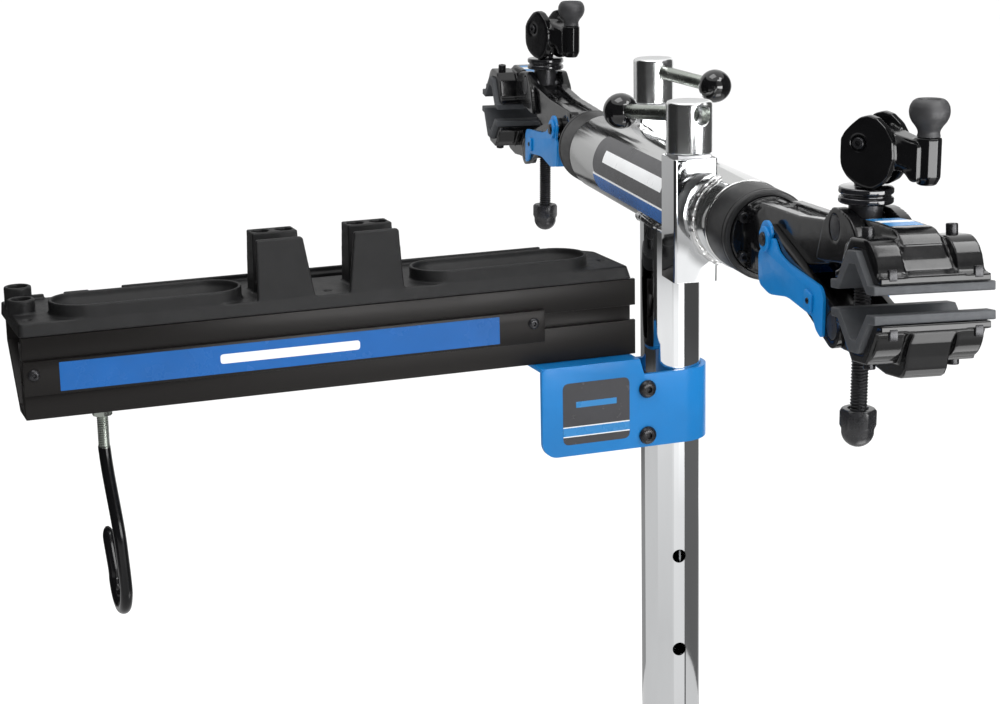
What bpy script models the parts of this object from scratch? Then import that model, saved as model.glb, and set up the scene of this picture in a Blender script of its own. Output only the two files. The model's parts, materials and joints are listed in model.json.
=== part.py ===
"""Bike repair stand: height-adjustable mast, cross tube, two turning clamps and a swinging tool tray."""
import math
import bmesh
import bpy
from mathutils import Matrix, Vector

MM = 0.001

# Mast and base (mm, measured from the floor)
AXIS_HEIGHT = 1143.0
BASE_SIZE = (900.0, 600.0, 12.7)
BASE_CORNER = 60.0
SOCKET_RADIUS = 46.0
SOCKET_TOP = 24.0
OUTER_RADIUS = 34.95
OUTER_BORE = 30.75
INNER_RADIUS = 30.15
INNER_BORE = 26.9
INNER_BOTTOM = 70.0
HOLE_PITCH = 101.6
FIRST_HOLE = -380.4
HOLE_COUNT = 4
PIN_HOLE_RADIUS = 7.1
PIN_RADIUS = 6.35
RIM_BELOW_AXIS = 590.3

# Cross tube (from here on heights are measured from its axis)
CROSS_RADIUS = 41.275
CROSS_BORE = 36.8
CROSS_HALF = 233.0

# Lock units beside the cross tube
LOCK_X = 178.0
LOCK_Y = -38.0
LOCK_HALF = 20.65
LOCK_WALL = 4.0
LOCK_HALF_HEIGHT = 57.0
HUB_RADIUS = 21.3
HUB_BOTTOM = 60.6
HUB_TOP = 108.0
BAR_HEIGHT = 95.0
BAR_RADIUS = 7.1
BAR_LENGTH = 100.0
BAR_DROOP = 4.0
BAR_START = -5.0
OPEN_HOLE_RADIUS = 9.2
BAR_AZIMUTH = 198.8
BALL_RADIUS = 17.0
BALL_REACH = 108.0
SCREW_RADIUS = 4.9
GAP = 0.3

# Clamp shaft and arm
SHAFT_INNER_END = 95.0
SHAFT_RADIUS = 32.0
LAND_RADIUS = 36.4
SLEEVE_RADIUS = 40.4
SLEEVE_END = 285.0
SLEEVE_RECESS = 277.5
FLANGE_RADIUS = 34.8

CLAMP_LEAN = 1.0

# Clamp linkage pivots (x outward along the cross tube, z up)
ROD_X = 500.0
P1_Z = 45.5
P2_Z = -33.0
P3_X = 356.0
P3_Z = 11.0
ROD_RADIUS = 7.0
TRUNNION_RADIUS = 9.7
NUT_RADIUS = 10.9
ARM_HALF = 19.6
LINK_INNER = 19.95
LINK_OUTER = 25.3
COVER_INNER = 25.6
COVER_OUTER = 28.1
CHEEK_FACE = 14.0
CHEEK_END = 547.0

# Jaws
JAW_X = 593.6
JAW_Z = 7.5
JAW_TILT = 7.0
PAD_HALF = 47.7
PAD_GAP = 7.3
PAD_REACH = 42.0
HUMP_INNER = 20.5
HUMP_OUTER = 42.0

# Cam lever
CAM_Z = 113.0
CAM_START = 35.0
CAM_DROP = 20.0
CAM_SWEEP = 90.0
CHEEK_INNER = 10.4
CHEEK_OUTER = 20.0
LEVER_REACH = 49.0
NEAR_LEVER_AZIMUTH = 45.0
FAR_LEVER_AZIMUTH = 204.0

# Tool tray (its own frame: rail runs along -Y, its face looks along +X)
TRAY_ANGLE = 7.4
RAIL_FACE = 14.0
RAIL_END = -44.8
RAIL_LENGTH = 607.0
RAIL_TOP = -88.3
RAIL_BOTTOM = -165.2
RAIL_DEPTH = 92.0
BRACKET_INNER = 30.75
BRACKET_OUTER = 36.0
BRACKET_BOTTOM = -257.0
BRACKET_BAND_TOP = -182.0
BRACKET_LEFT = -155.0
POCKET_OUTER = 32.0
POCKET_INNER = 28.0
HOOK_Y = -578.5
HOOK_X = -10.0
TRAY_DECK = -75.0


def wipe():
    for ob in list(bpy.data.objects):
        bpy.data.objects.remove(ob, do_unlink=True)


def material(name, rgb, roughness, metallic=0.0):
    m = bpy.data.materials.new(name)
    m.use_nodes = True
    shader = m.node_tree.nodes["Principled BSDF"]
    shader.inputs["Base Color"].default_value = (*rgb, 1.0)
    shader.inputs["Roughness"].default_value = roughness
    shader.inputs["Metallic"].default_value = metallic
    m.diffuse_color = (*rgb, 1.0)
    return m


def spin_profile(profile, segments=24):
    """Solid of revolution about Z from (radius, height) points listed from top to bottom."""
    bm = bmesh.new()
    rings = []
    for radius, height in profile:
        if radius < 1e-6:
            rings.append([bm.verts.new((0, 0, height))])
            continue
        ring = []
        for i in range(segments):
            a = 2 * math.pi * i / segments
            ring.append(bm.verts.new((radius * math.cos(a), radius * math.sin(a), height)))
        rings.append(ring)
    closed = profile[0] == profile[-1]
    pairs = list(zip(rings, rings[1:]))
    if closed:
        for v in rings[-1]:
            bm.verts.remove(v)
        pairs = list(zip(rings[:-1], rings[1:-1] + [rings[0]]))
    for upper, lower in pairs:
        for i in range(segments):
            j = (i + 1) % segments
            if len(upper) == 1 and len(lower) == 1:
                continue
            if len(upper) == 1:
                bm.faces.new((upper[0], lower[i], lower[j]))
            elif len(lower) == 1:
                bm.faces.new((upper[j], upper[i], lower[0]))
            else:
                bm.faces.new((upper[j], upper[i], lower[i], lower[j]))
    if not closed:
        if len(rings[0]) > 1:
            bm.faces.new(rings[0])
        if len(rings[-1]) > 1:
            bm.faces.new(list(reversed(rings[-1])))
    bmesh.ops.recalc_face_normals(bm, faces=bm.faces)
    return bm


def cylinder(radius, low, high, segments=24):
    return spin_profile([(radius, high), (radius, low)], segments)


def ring(outer, inner, low, high, segments=24):
    return spin_profile([(inner, high), (outer, high), (outer, low), (inner, low), (inner, high)], segments)


def prism(points, low, high, plane="XY"):
    """Extrude a polygon: plane XY along Z, XZ along Y, YZ along X."""
    bm = bmesh.new()
    place = {
        "XY": lambda a, b, h: (a, b, h),
        "XZ": lambda a, b, h: (a, h, b),
        "YZ": lambda a, b, h: (h, a, b),
    }[plane]
    bottom = [bm.verts.new(place(a, b, low)) for a, b in points]
    top = [bm.verts.new(place(a, b, high)) for a, b in points]
    bm.faces.new(bottom)
    bm.faces.new(top)
    n = len(points)
    for i in range(n):
        j = (i + 1) % n
        bm.faces.new((bottom[i], bottom[j], top[j], top[i]))
    bmesh.ops.recalc_face_normals(bm, faces=bm.faces)
    return bm


def box(x0, x1, y0, y1, z0, z1):
    return prism([(x0, y0), (x1, y0), (x1, y1), (x0, y1)], z0, z1)


def hull(points):
    bm = bmesh.new()
    for p in points:
        bm.verts.new(p)
    result = bmesh.ops.convex_hull(bm, input=bm.verts)
    inside = list(set(result["geom_interior"] + result["geom_unused"]))
    bmesh.ops.delete(bm, geom=[g for g in inside if isinstance(g, bmesh.types.BMVert)], context="VERTS")
    bmesh.ops.recalc_face_normals(bm, faces=bm.faces)
    return bm


def arc(cx, cy, radius, start, stop, steps):
    out = []
    for i in range(steps + 1):
        a = math.radians(start + (stop - start) * i / steps)
        out.append((cx + radius * math.cos(a), cy + radius * math.sin(a)))
    return out


def rounded(points, radius, steps=3):
    """Round every corner of a polygon with an arc."""
    out = []
    n = len(points)
    for i in range(n):
        p = Vector(points[i])
        a = Vector(points[i - 1]) - p
        b = Vector(points[(i + 1) % n]) - p
        reach = min(radius, 0.45 * a.length, 0.45 * b.length)
        p0 = p + a.normalized() * reach
        p1 = p + b.normalized() * reach
        for k in range(steps + 1):
            t = k / steps
            q = p0 * (1 - t) ** 2 + p * (2 * t * (1 - t)) + p1 * t ** 2
            out.append((q.x, q.y))
    return out


def lobe_hull(c0, r0, c1, r1, steps=10):
    """Outline of two circles joined by their outer tangents."""
    d = math.hypot(c1[0] - c0[0], c1[1] - c0[1])
    base = math.degrees(math.atan2(c1[1] - c0[1], c1[0] - c0[0]))
    open_angle = math.degrees(math.acos((r0 - r1) / d))
    back = arc(c0[0], c0[1], r0, base + open_angle, base + 360 - open_angle, steps)
    front = arc(c1[0], c1[1], r1, base - open_angle, base + open_angle, steps)
    return back + front


def tube_along(path, radius, segments=12):
    """Round bar following a polyline, with flat ends."""
    bm = bmesh.new()
    pts = [Vector(p) for p in path]
    rings = []
    side = None
    for i, p in enumerate(pts):
        before = pts[max(i - 1, 0)]
        after = pts[min(i + 1, len(pts) - 1)]
        t = (after - before).normalized()
        if side is None:
            side = t.orthogonal().normalized()
        side = (side - t * side.dot(t)).normalized()
        other = t.cross(side)
        stretch = 1.0
        if 0 < i < len(pts) - 1:
            half = (pts[i] - before).angle(after - pts[i]) / 2
            stretch = 1 / math.cos(half)
        ring_verts = []
        for k in range(segments):
            a = 2 * math.pi * k / segments
            ring_verts.append(bm.verts.new(p + (side * math.cos(a) + other * math.sin(a)) * radius * stretch))
        rings.append(ring_verts)
    for r0, r1 in zip(rings, rings[1:]):
        for k in range(segments):
            j = (k + 1) % segments
            bm.faces.new((r0[k], r0[j], r1[j], r1[k]))
    bm.faces.new(rings[0])
    bm.faces.new(rings[-1])
    bmesh.ops.recalc_face_normals(bm, faces=bm.faces)
    return bm


def moved(bm, matrix):
    bm.transform(matrix)
    return bm


def shift(x=0.0, y=0.0, z=0.0):
    return Matrix.Translation((x, y, z))


def turn(axis, degrees):
    return Matrix.Rotation(math.radians(degrees), 4, axis)


ALONG_X = turn("Y", 90)
ALONG_Y = turn("X", 90)


def mesh_object(bm, name):
    mesh = bpy.data.meshes.new(name)
    bm.to_mesh(mesh)
    bm.free()
    ob = bpy.data.objects.new(name, mesh)
    bpy.context.scene.collection.objects.link(ob)
    return ob


def combine(base, *steps):
    """Apply exact booleans in order; each step is ('+' or '-', bmesh)."""
    ob = mesh_object(base, "work")
    tools = []
    for i, (sign, tool) in enumerate(steps):
        cutter = mesh_object(tool, "tool_%d" % i)
        cutter.hide_render = True
        cutter.display_type = "WIRE"
        tools.append(cutter)
        mod = ob.modifiers.new("step_%d" % i, "BOOLEAN")
        mod.operation = "UNION" if sign == "+" else "DIFFERENCE"
        mod.solver = "EXACT"
        mod.object = cutter
    depsgraph = bpy.context.evaluated_depsgraph_get()
    result = bmesh.new()
    result.from_mesh(ob.evaluated_get(depsgraph).to_mesh())
    for item in [ob] + tools:
        bpy.data.objects.remove(item, do_unlink=True)
    bmesh.ops.remove_doubles(result, verts=result.verts, dist=0.002)
    bmesh.ops.dissolve_degenerate(result, edges=result.edges, dist=0.002)
    return result


def piece(bm, name, mat, place=None, origin=(0.0, 0.0, 0.0)):
    """Turn a millimetre solid into a named object whose origin sits at the given point."""
    if place is not None:
        bm.transform(place)
        origin = place @ Vector(origin)
    origin = Vector(origin) + Vector((0, 0, AXIS_HEIGHT))
    bm.transform(shift(0, 0, AXIS_HEIGHT))
    bm.transform(shift(*(-origin)))
    bm.transform(Matrix.Scale(MM, 4))
    for f in bm.faces:
        f.smooth = True
    for e in bm.edges:
        if e.is_manifold and e.calc_face_angle() > math.radians(32):
            e.smooth = False
    ob = mesh_object(bm, name)
    ob.location = origin * MM
    ob.data.materials.append(mat)


# ------------------------------------------------------------------ mast

def build_mast(mats):
    floor = -AXIS_HEIGHT
    sx, sy, thick = BASE_SIZE
    outline = rounded([(-sx / 2, -sy / 2), (sx / 2, -sy / 2), (sx / 2, sy / 2), (-sx / 2, sy / 2)],
                      BASE_CORNER, 5)
    plate = prism(outline, floor, floor + thick)
    socket = ring(SOCKET_RADIUS, OUTER_RADIUS + GAP, floor + thick - 2, floor + SOCKET_TOP, 32)
    piece(combine(plate, ("+", socket)), "base_plate", mats["coat"])

    rim = -RIM_BELOW_AXIS
    piece(ring(OUTER_RADIUS, OUTER_BORE, floor + thick + GAP, rim, 32), "lower_column", mats["coat"])

    column = ring(INNER_RADIUS, INNER_BORE, floor + INNER_BOTTOM, -20.0, 32)
    saddle = moved(cylinder(CROSS_RADIUS + GAP, -70, 70, 32), ALONG_X)
    cuts = [("-", saddle)]
    for i in range(HOLE_COUNT):
        hole = moved(cylinder(PIN_HOLE_RADIUS, -50, 50, 16), shift(z=FIRST_HOLE - i * HOLE_PITCH) @ ALONG_X)
        cuts.append(("-", hole))
    piece(combine(column, *cuts), "upper_column", mats["chrome"])

    pin_z = -RIM_BELOW_AXIS + PIN_RADIUS + GAP
    path = [(-48, 0, pin_z), (52, 0, pin_z), (62, 0, pin_z - 3), (67, 0, pin_z - 12), (67, 0, pin_z - 45)]
    piece(tube_along(path, PIN_RADIUS, 14), "height_pin", mats["zinc"])

    tube = moved(ring(CROSS_RADIUS, CROSS_BORE, -CROSS_HALF, CROSS_HALF, 32), ALONG_X)
    cuts = []
    for sign in (1, -1):
        inner = LOCK_HALF - LOCK_WALL
        ends = sorted((sign * (LOCK_Y + inner), sign * (LOCK_Y - inner - 10)))
        middle = sign * LOCK_X
        cuts.append(("-", box(middle - inner, middle + inner, ends[0], ends[1], -38, 38)))
    piece(combine(tube, *cuts), "cross_tube", mats["chrome"])


# ------------------------------------------------------------------ lock units

def build_lock(side, tag, azimuth, mats):
    place = turn("Z", 0 if side > 0 else 180)
    axis = (LOCK_X, LOCK_Y, 0.0)
    at = shift(*axis)
    h = LOCK_HALF
    w = LOCK_HALF - LOCK_WALL
    outer = prism(rounded([(-h, -h), (h, -h), (h, h), (-h, h)], 3.0, 1), -LOCK_HALF_HEIGHT,
                  LOCK_HALF_HEIGHT)
    bore = box(-w, w, -w, w, -90, 90)
    notch = moved(cylinder(CROSS_RADIUS + GAP, -60, 60, 32), shift(LOCK_X) @ ALONG_X)
    piece(combine(moved(outer, at), ("-", moved(bore, at)), ("-", notch)), "lock_tube_" + tag,
          mats["chrome"], place)

    aim = shift(LOCK_X, LOCK_Y, BAR_HEIGHT) @ turn("Z", azimuth) @ turn("Y", 90 + BAR_DROOP)
    r = HUB_RADIUS
    hub = spin_profile(
        [(r - 4, HUB_TOP), (r, HUB_TOP - 4), (r, HUB_BOTTOM),
         (SCREW_RADIUS, HUB_BOTTOM), (SCREW_RADIUS, -55.0)], 20)
    cross_hole = moved(cylinder(BAR_RADIUS + GAP, -40, 40, 16), aim)
    open_end = moved(cylinder(OPEN_HOLE_RADIUS, -40, BAR_START - GAP, 20), aim)
    hub = combine(moved(hub, at), ("-", cross_hole), ("-", open_end))
    piece(hub, "lock_spindle_" + tag, mats["chrome"], place, axis)
    piece(moved(cylinder(BAR_RADIUS, BAR_START, BAR_LENGTH, 16), aim), "lock_bar_" + tag, mats["zinc"],
          place, axis)

    steps = 8
    profile = []
    for i in range(steps + 1):
        a = math.pi * i / steps
        profile.append((BALL_RADIUS * math.sin(a), BALL_REACH + BALL_RADIUS * math.cos(a)))
    ball = spin_profile([(0.0, profile[0][1])] + profile[1:-1] + [(0.0, profile[-1][1])], 16)
    bore = cylinder(BAR_RADIUS + GAP, BALL_REACH - 30, BAR_LENGTH + GAP, 16)
    piece(moved(combine(ball, ("-", bore)), aim), "lock_ball_" + tag, mats["ball"], place, axis)

    fit = w - GAP
    shaft_cut = moved(cylinder(SHAFT_RADIUS + GAP, -60, 60, 24), shift(LOCK_X) @ ALONG_X)
    upper = moved(box(-fit, fit, -fit, fit, 14.0, HUB_BOTTOM - GAP), at)
    through = moved(cylinder(SCREW_RADIUS + GAP, -90, 90, 12), at)
    piece(combine(upper, ("-", shaft_cut), ("-", through)), "binder_upper_" + tag, mats["steel"], place)
    shaft_cut = moved(cylinder(SHAFT_RADIUS + GAP, -60, 60, 24), shift(LOCK_X) @ ALONG_X)
    lower = moved(box(-fit, fit, -fit, fit, -52.0, -14.0), at)
    through = moved(cylinder(SCREW_RADIUS + GAP, -90, 90, 12), at)
    piece(combine(lower, ("-", shaft_cut), ("-", through)), "binder_lower_" + tag, mats["steel"], place)


# ------------------------------------------------------------------ clamps

def jaw_frame():
    return shift(JAW_X, 0, JAW_Z) @ turn("Y", -JAW_TILT)


def pad_outline(gap, peak, rise, thick):
    """Half of the pad section: flat flange, V, flat flange; listed as a closed polygon in (p, q)."""
    foot = PAD_REACH
    knee = 27.0
    lower = [(-foot, gap), (-knee, gap), (-6, peak), (6, peak), (knee, gap), (foot, gap)]
    upper = [(foot, gap + thick), (knee + 3, gap + thick), (8, peak + rise), (-8, peak + rise),
             (-knee - 3, gap + thick), (-foot, gap + thick)]
    return lower + upper


def mirrored(points):
    return [(p, -q) for p, q in points]


def build_clamp(side, tag, lever_azimuth, mats):
    place = turn("X", -CLAMP_LEAN) @ turn("Z", 0 if side > 0 else 180)
    p1 = (ROD_X, 0.0, P1_Z)
    p2 = (ROD_X, 0.0, P2_Z)
    p3 = (P3_X, 0.0, P3_Z)
    jaw = jaw_frame()

    # shaft and sleeve
    profile = [
        (FLANGE_RADIUS + GAP, SLEEVE_END), (SLEEVE_RADIUS - 1, SLEEVE_END), (SLEEVE_RADIUS, SLEEVE_END - 2),
        (SLEEVE_RADIUS, CROSS_HALF + 0.5), (LAND_RADIUS, CROSS_HALF + 0.5), (LAND_RADIUS, 206.0),
        (SHAFT_RADIUS, 206.0), (SHAFT_RADIUS, 122.0), (LAND_RADIUS, 122.0), (LAND_RADIUS, SHAFT_INNER_END),
        (24.0, SHAFT_INNER_END), (24.0, 262.0), (0.0, 262.0)]
    closing = [(0.0, SLEEVE_RECESS), (FLANGE_RADIUS + GAP, SLEEVE_RECESS)]
    shaft = spin_profile(closing + profile, 32)
    piece(moved(shaft, ALONG_X), "clamp_shaft_" + tag, mats["sleeve"], place)

    # arm: bolted flange, neck, two side plates, pivot cheeks
    flange = moved(cylinder(FLANGE_RADIUS, SLEEVE_RECESS + GAP, SLEEVE_END + 1.5, 28), ALONG_X)
    neck_points = []
    for a in range(0, 360, 45):
        c = math.cos(math.radians(a))
        s = math.sin(math.radians(a))
        neck_points.append((SLEEVE_END - 1, 23 * c, 8 + 21 * s))
    for y in (-ARM_HALF, ARM_HALF):
        for z in (-9.0, 34.0):
            neck_points.append((328.0, y, z))
        neck_points.append((336.0, y, 12.0))
    neck = hull(neck_points)
    steps = [("+", neck)]
    for y, z in ((-22, 16), (22, 16), (-22, -16), (22, -16)):
        head = moved(cylinder(4.8, SLEEVE_END, SLEEVE_END + 7, 8), shift(0, y * 1.1, z * 1.1) @ ALONG_X)
        steps.append(("+", head))
    web = prism([(300, 14), (300, 33), (406, 37), (474, 44), (476, 30), (446, 22), (386, 14)], -12, 12,
                "XZ")
    steps.append(("+", web))
    side_plate = rounded([(312, -5), (336, -7), (372, -6), (414, 8), (458, 22), (506, 30), (518, 32),
                          (518, 58), (506, 60), (476, 47), (406, 39), (312, 35)], 4, 1)
    cheek = rounded([(462, 14), (478, 15), (528, 22), (CHEEK_END, 27), (CHEEK_END, 41), (540, 50),
                     (530, 57),
                     (518, 60), (506, 61.4), (494, 61.4), (474, 46)], 5, 1)
    for s in (-1, 1):
        lo, hi = sorted((s * 9.0, s * ARM_HALF))
        steps.append(("+", prism(side_plate, lo, hi, "XZ")))
        lo, hi = sorted((s * CHEEK_FACE, s * LINK_OUTER))
        steps.append(("+", prism(cheek, lo, hi, "XZ")))
    steps.append(("-", box(480, 524, -14.2, 14.2, 10, 90)))
    steps.append(("-", moved(cylinder(TRUNNION_RADIUS + GAP, -60, 60, 16), shift(*p1) @ ALONG_Y)))
    steps.append(("-", moved(cylinder(6.3, -60, 60, 14), shift(*p3) @ ALONG_Y)))
    piece(combine(flange, *steps), "clamp_arm_" + tag, mats["casting"], place)

    # pivot pins
    pin = cylinder(6.0, -33.2, 33.2, 14)
    piece(moved(pin, shift(*p3) @ ALONG_Y), "link_pin_" + tag, mats["bolt"], place, p3)
    trunnion = moved(cylinder(TRUNNION_RADIUS, -LINK_OUTER, LINK_OUTER, 16), shift(*p1) @ ALONG_Y)
    post = moved(cylinder(13.4, P1_Z, 63.8, 16), shift(ROD_X))
    bore = moved(cylinder(ROD_RADIUS + GAP, 0, 90, 16), shift(ROD_X))
    piece(combine(trunnion, ("+", post), ("-", bore)), "upper_trunnion_" + tag, mats["steel_dark"], place,
          p1)
    nut = moved(cylinder(NUT_RADIUS, -LINK_OUTER, LINK_OUTER, 16), shift(*p2) @ ALONG_Y)
    bore = moved(cylinder(ROD_RADIUS + 0.9, -80, 20, 16), shift(ROD_X))
    piece(combine(nut, ("-", bore)), "lower_nut_" + tag, mats["steel_dark"], place, p2)

    # link: two black bars and a bridge
    bar_outline = lobe_hull((P3_X, P3_Z), 12.5, (ROD_X, P2_Z), 17.5, 7)
    link = prism(bar_outline, LINK_INNER, LINK_OUTER, "XZ")
    bridge = prism([(404, -17), (404, -10), (458, -26), (458, -33)], -22, 22, "XZ")
    steps = [
        ("+", bridge), ("+", prism(bar_outline, -LINK_OUTER, -LINK_INNER, "XZ")),
        ("-", moved(cylinder(6.3, -60, 60, 14), shift(*p3) @ ALONG_Y)),
        ("-", moved(cylinder(NUT_RADIUS + GAP, -60, 60, 16), shift(*p2) @ ALONG_Y))]
    piece(combine(link, *steps), "link_" + tag, mats["casting"], place, p3)

    # blue cover: two plates, a bottom web, an eye boss and a small square boss on each side
    eye = arc(P3_X - 1, P3_Z + 1, 14.5, 20, 190, 6)
    plate = eye + rounded([(341, -31), (404, -27.5), (468, -35), (476, -43), (487, -50), (487, -15),
                           (480, -7),
                           (408, 1), (380, 5), (374, 10)], 6, 1)
    cover = prism(plate, COVER_INNER, COVER_OUTER, "XZ")
    steps = [("+", prism(plate, -COVER_OUTER, -COVER_INNER, "XZ")),
             ("+", prism([(344, -31), (402, -27.6), (402, -25.2), (346, -28.4), (346, -12), (343.4, -12)],
                         -27, 27, "XZ"))]
    for s in (-1, 1):
        lo, hi = sorted((s * (COVER_OUTER - 1), s * 31.0))
        steps.append(("+", moved(cylinder(11.0, lo, hi, 14), shift(*p3) @ ALONG_Y)))
        lo, hi = sorted((s * (COVER_OUTER - 1), s * 30.5))
        steps.append(("+", prism([(452, -26), (468, -27), (468, -13), (452, -12)], lo, hi, "XZ")))
    steps.append(("-", moved(cylinder(6.3, -60, 60, 14), shift(*p3) @ ALONG_Y)))
    piece(combine(cover, *steps), "link_cover_" + tag, mats["blue"], place, p3)

    # pads and jaws, drawn in the tilted jaw frame
    upper_pad = pad_outline(PAD_GAP, 28.0, 10.0, 7.0)
    piece(moved(prism(upper_pad, -PAD_HALF, PAD_HALF, "XZ"), jaw), "upper_pad_" + tag, mats["rubber"],
          place)
    piece(moved(prism(mirrored(upper_pad), -PAD_HALF, PAD_HALF, "XZ"), jaw), "lower_pad_" + tag,
          mats["rubber"],
          place, p3)
    back = [(-44, 14.6), (-29.8, 14.6), (-8, 38.4), (8, 38.4), (29.8, 14.6), (44, 14.6),
            (44, 20), (34, 22), (14, 46), (-14, 46), (-34, 22), (-44, 20)]
    spine = rounded([(-66.5, 30), (-66.5, 57), (-30, 56), (0, 53), (26, 41), (44, 20), (30, 22), (12, 43),
                     (-12, 43),
                     (-30, 24), (-44, 19)], 3, 1)
    rib = [(-38, 19), (-26, 42), (-8, 49), (10, 49), (28, 40), (40, 19), (30, 21), (12, 43), (-12, 43),
           (-30, 21)]
    low_rib = [(-38, -19), (-26, -40), (-8, -47), (12, -47), (26, -34), (40, -19), (30, -21), (12, -43),
               (-12, -43),
               (-30, -21)]
    steps = [("+", prism(spine, -17, 17, "XZ"))]
    for s in (-1, 1):
        lo, hi = sorted((s * HUMP_INNER, s * HUMP_OUTER))
        steps.append(("+", prism(rib, lo, hi, "XZ")))
        steps.append(("+", moved(cylinder(4.6, 48, 55.5, 10), shift(-2, s * 33.5, 0))))
    upper = moved(combine(prism(back, -43, 43, "XZ"), *steps), jaw)
    notches = []
    for s in (-1, 1):
        lo, hi = sorted((s * (CHEEK_FACE - GAP), s * 60.0))
        notches.append(("-", box(500, CHEEK_END + GAP, lo, hi, 0, 80)))
    piece(combine(upper, *notches), "upper_jaw_" + tag, mats["casting"], place)

    spine = rounded([(-72, -16), (-46, -19), (-30, -24), (-12, -43), (12, -43), (30, -22), (44, -20),
                     (30, -46),
                     (18, -57.5), (-14, -57.5), (-40, -52), (-72, -48)], 3, 1)
    steps = [("+", prism(spine, -17, 17, "XZ"))]
    for s in (-1, 1):
        lo, hi = sorted((s * HUMP_INNER, s * HUMP_OUTER))
        steps.append(("+", prism(low_rib, lo, hi, "XZ")))
        steps.append(("+", moved(cylinder(4.6, -52.0, -44.0, 10), shift(-2, s * 33.5, 0))))
        rear = lobe_hull((-97.3, -29.4), 16.5, (-72, -32), 16.0, 6)
        lo, hi = sorted((s * 13.2, s * (LINK_INNER - GAP)))
        steps.append(("+", prism(rear, lo, hi, "XZ")))
    lower = combine(prism(mirrored(back), -43, 43, "XZ"), *steps)
    lower = combine(moved(lower, jaw), ("-", moved(cylinder(NUT_RADIUS + GAP, -60, 60, 16),
                                                   shift(*p2) @ ALONG_Y)))
    piece(lower, "lower_jaw_" + tag, mats["casting"], place, p3)

    # collar, rod, acorn nut
    collar = spin_profile(
        [(ROD_RADIUS + GAP, 82.0), (9.6, 82.0), (9.6, 77.4), (21.6, 77.4), (21.6, 72.0), (19.6, 71.4),
         (19.6, 70.4),
         (21.6, 69.8), (21.6, 64.6), (ROD_RADIUS + GAP, 64.6), (ROD_RADIUS + GAP, 82.0)], 20)
    piece(moved(collar, shift(ROD_X)), "thrust_collar_" + tag, mats["collar"], place, p1)
    rod = moved(cylinder(ROD_RADIUS, -118.0, CAM_Z - 6.0, 16), shift(ROD_X))
    eye = moved(cylinder(10.5, -10.0, 10.0, 16), shift(0, 0, CAM_Z) @ ALONG_Y)
    eye_bore = moved(cylinder(4.6, -60, 60, 12), shift(0, 0, CAM_Z) @ ALONG_Y)
    spin = shift(ROD_X) @ turn("Z", lever_azimuth)
    rod = combine(rod, ("+", moved(eye, spin)), ("-", moved(eye_bore, spin)))
    piece(rod, "clamp_rod_" + tag, mats["thread"], place, (ROD_X, 0.0, CAM_Z))
    acorn = spin_profile(
        [(ROD_RADIUS + GAP, -101.0), (14.6, -101.0), (14.6, -115.0), (12.8, -123.0), (8.2, -129.5),
         (0.0, -132.6),
         (0.0, -118.4), (ROD_RADIUS + GAP, -118.4), (ROD_RADIUS + GAP, -101.0)], 18)
    piece(moved(acorn, shift(ROD_X)), "acorn_nut_" + tag, mats["casting"], place, (ROD_X, 0.0, CAM_Z))

    # cam lever: spiral cheeks, cross pin, arm, end block
    # involute working face: its distance from the pin falls evenly as the lever turns up
    slope = CAM_DROP / math.radians(CAM_SWEEP)
    cam = []
    for i in range(9):
        a = math.radians(-90.0 - CAM_SWEEP * i / 8)
        h = CAM_START - CAM_DROP * i / 8
        cam.append((h * math.cos(a) - slope * math.sin(a), h * math.sin(a) + slope * math.cos(a)))
    outline = cam + [(-15, 3), (-12, 8.5), (-7, 14), (0, 20), (7, 22), (14, 20), (22, 13), (28, 3),
                     (29, -10),
                     (25, -24), (20, -31)]
    lever = prism(outline, CHEEK_INNER, CHEEK_OUTER, "XZ")
    bridge = rounded([(13, 14), (24, 8), (38, 3), (46, 2), (46, -29), (38, -30), (30, -23), (20, -20),
                      (14, -10)], 4, 1)
    block = [(x + LEVER_REACH, y) for x, y in arc(0, 0, 10.6, 22.5, 337.5, 7)]
    block_low = [(x + LEVER_REACH, y) for x, y in arc(0, 0, 8.0, 22.5, 337.5, 7)]
    block_solid = hull([(x, y, 6.0) for x, y in block] + [(x, y, -24.0) for x, y in block]
                       + [(x, y, -31.0) for x, y in block_low])
    pin = moved(cylinder(4.2, -CHEEK_OUTER - 1.6, CHEEK_OUTER + 1.6, 12), ALONG_Y)
    steps = [("+", prism(outline, -CHEEK_OUTER, -CHEEK_INNER, "XZ")),
             ("+", prism(bridge, -13.0, 13.0, "XZ")), ("+", block_solid), ("+", pin)]
    lever = combine(lever, *steps)
    lever_place = spin @ shift(0, 0, CAM_Z)
    piece(moved(lever, lever_place), "cam_lever_" + tag, mats["casting"], place, (ROD_X, 0.0, CAM_Z))
    knob = spin_profile(
        [(0.0, 33.6), (8.6, 33.6), (9.8, 35.4), (14.0, 32.0), (15.8, 25.5), (14.0, 18.5), (9.4, 12.0),
         (9.0, 6.3),
         (0.0, 6.3)], 18)
    piece(moved(knob, lever_place @ shift(LEVER_REACH)), "lever_knob_" + tag, mats["knob"], place,
          (ROD_X, 0.0, CAM_Z))


# ------------------------------------------------------------------ tool tray

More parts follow.
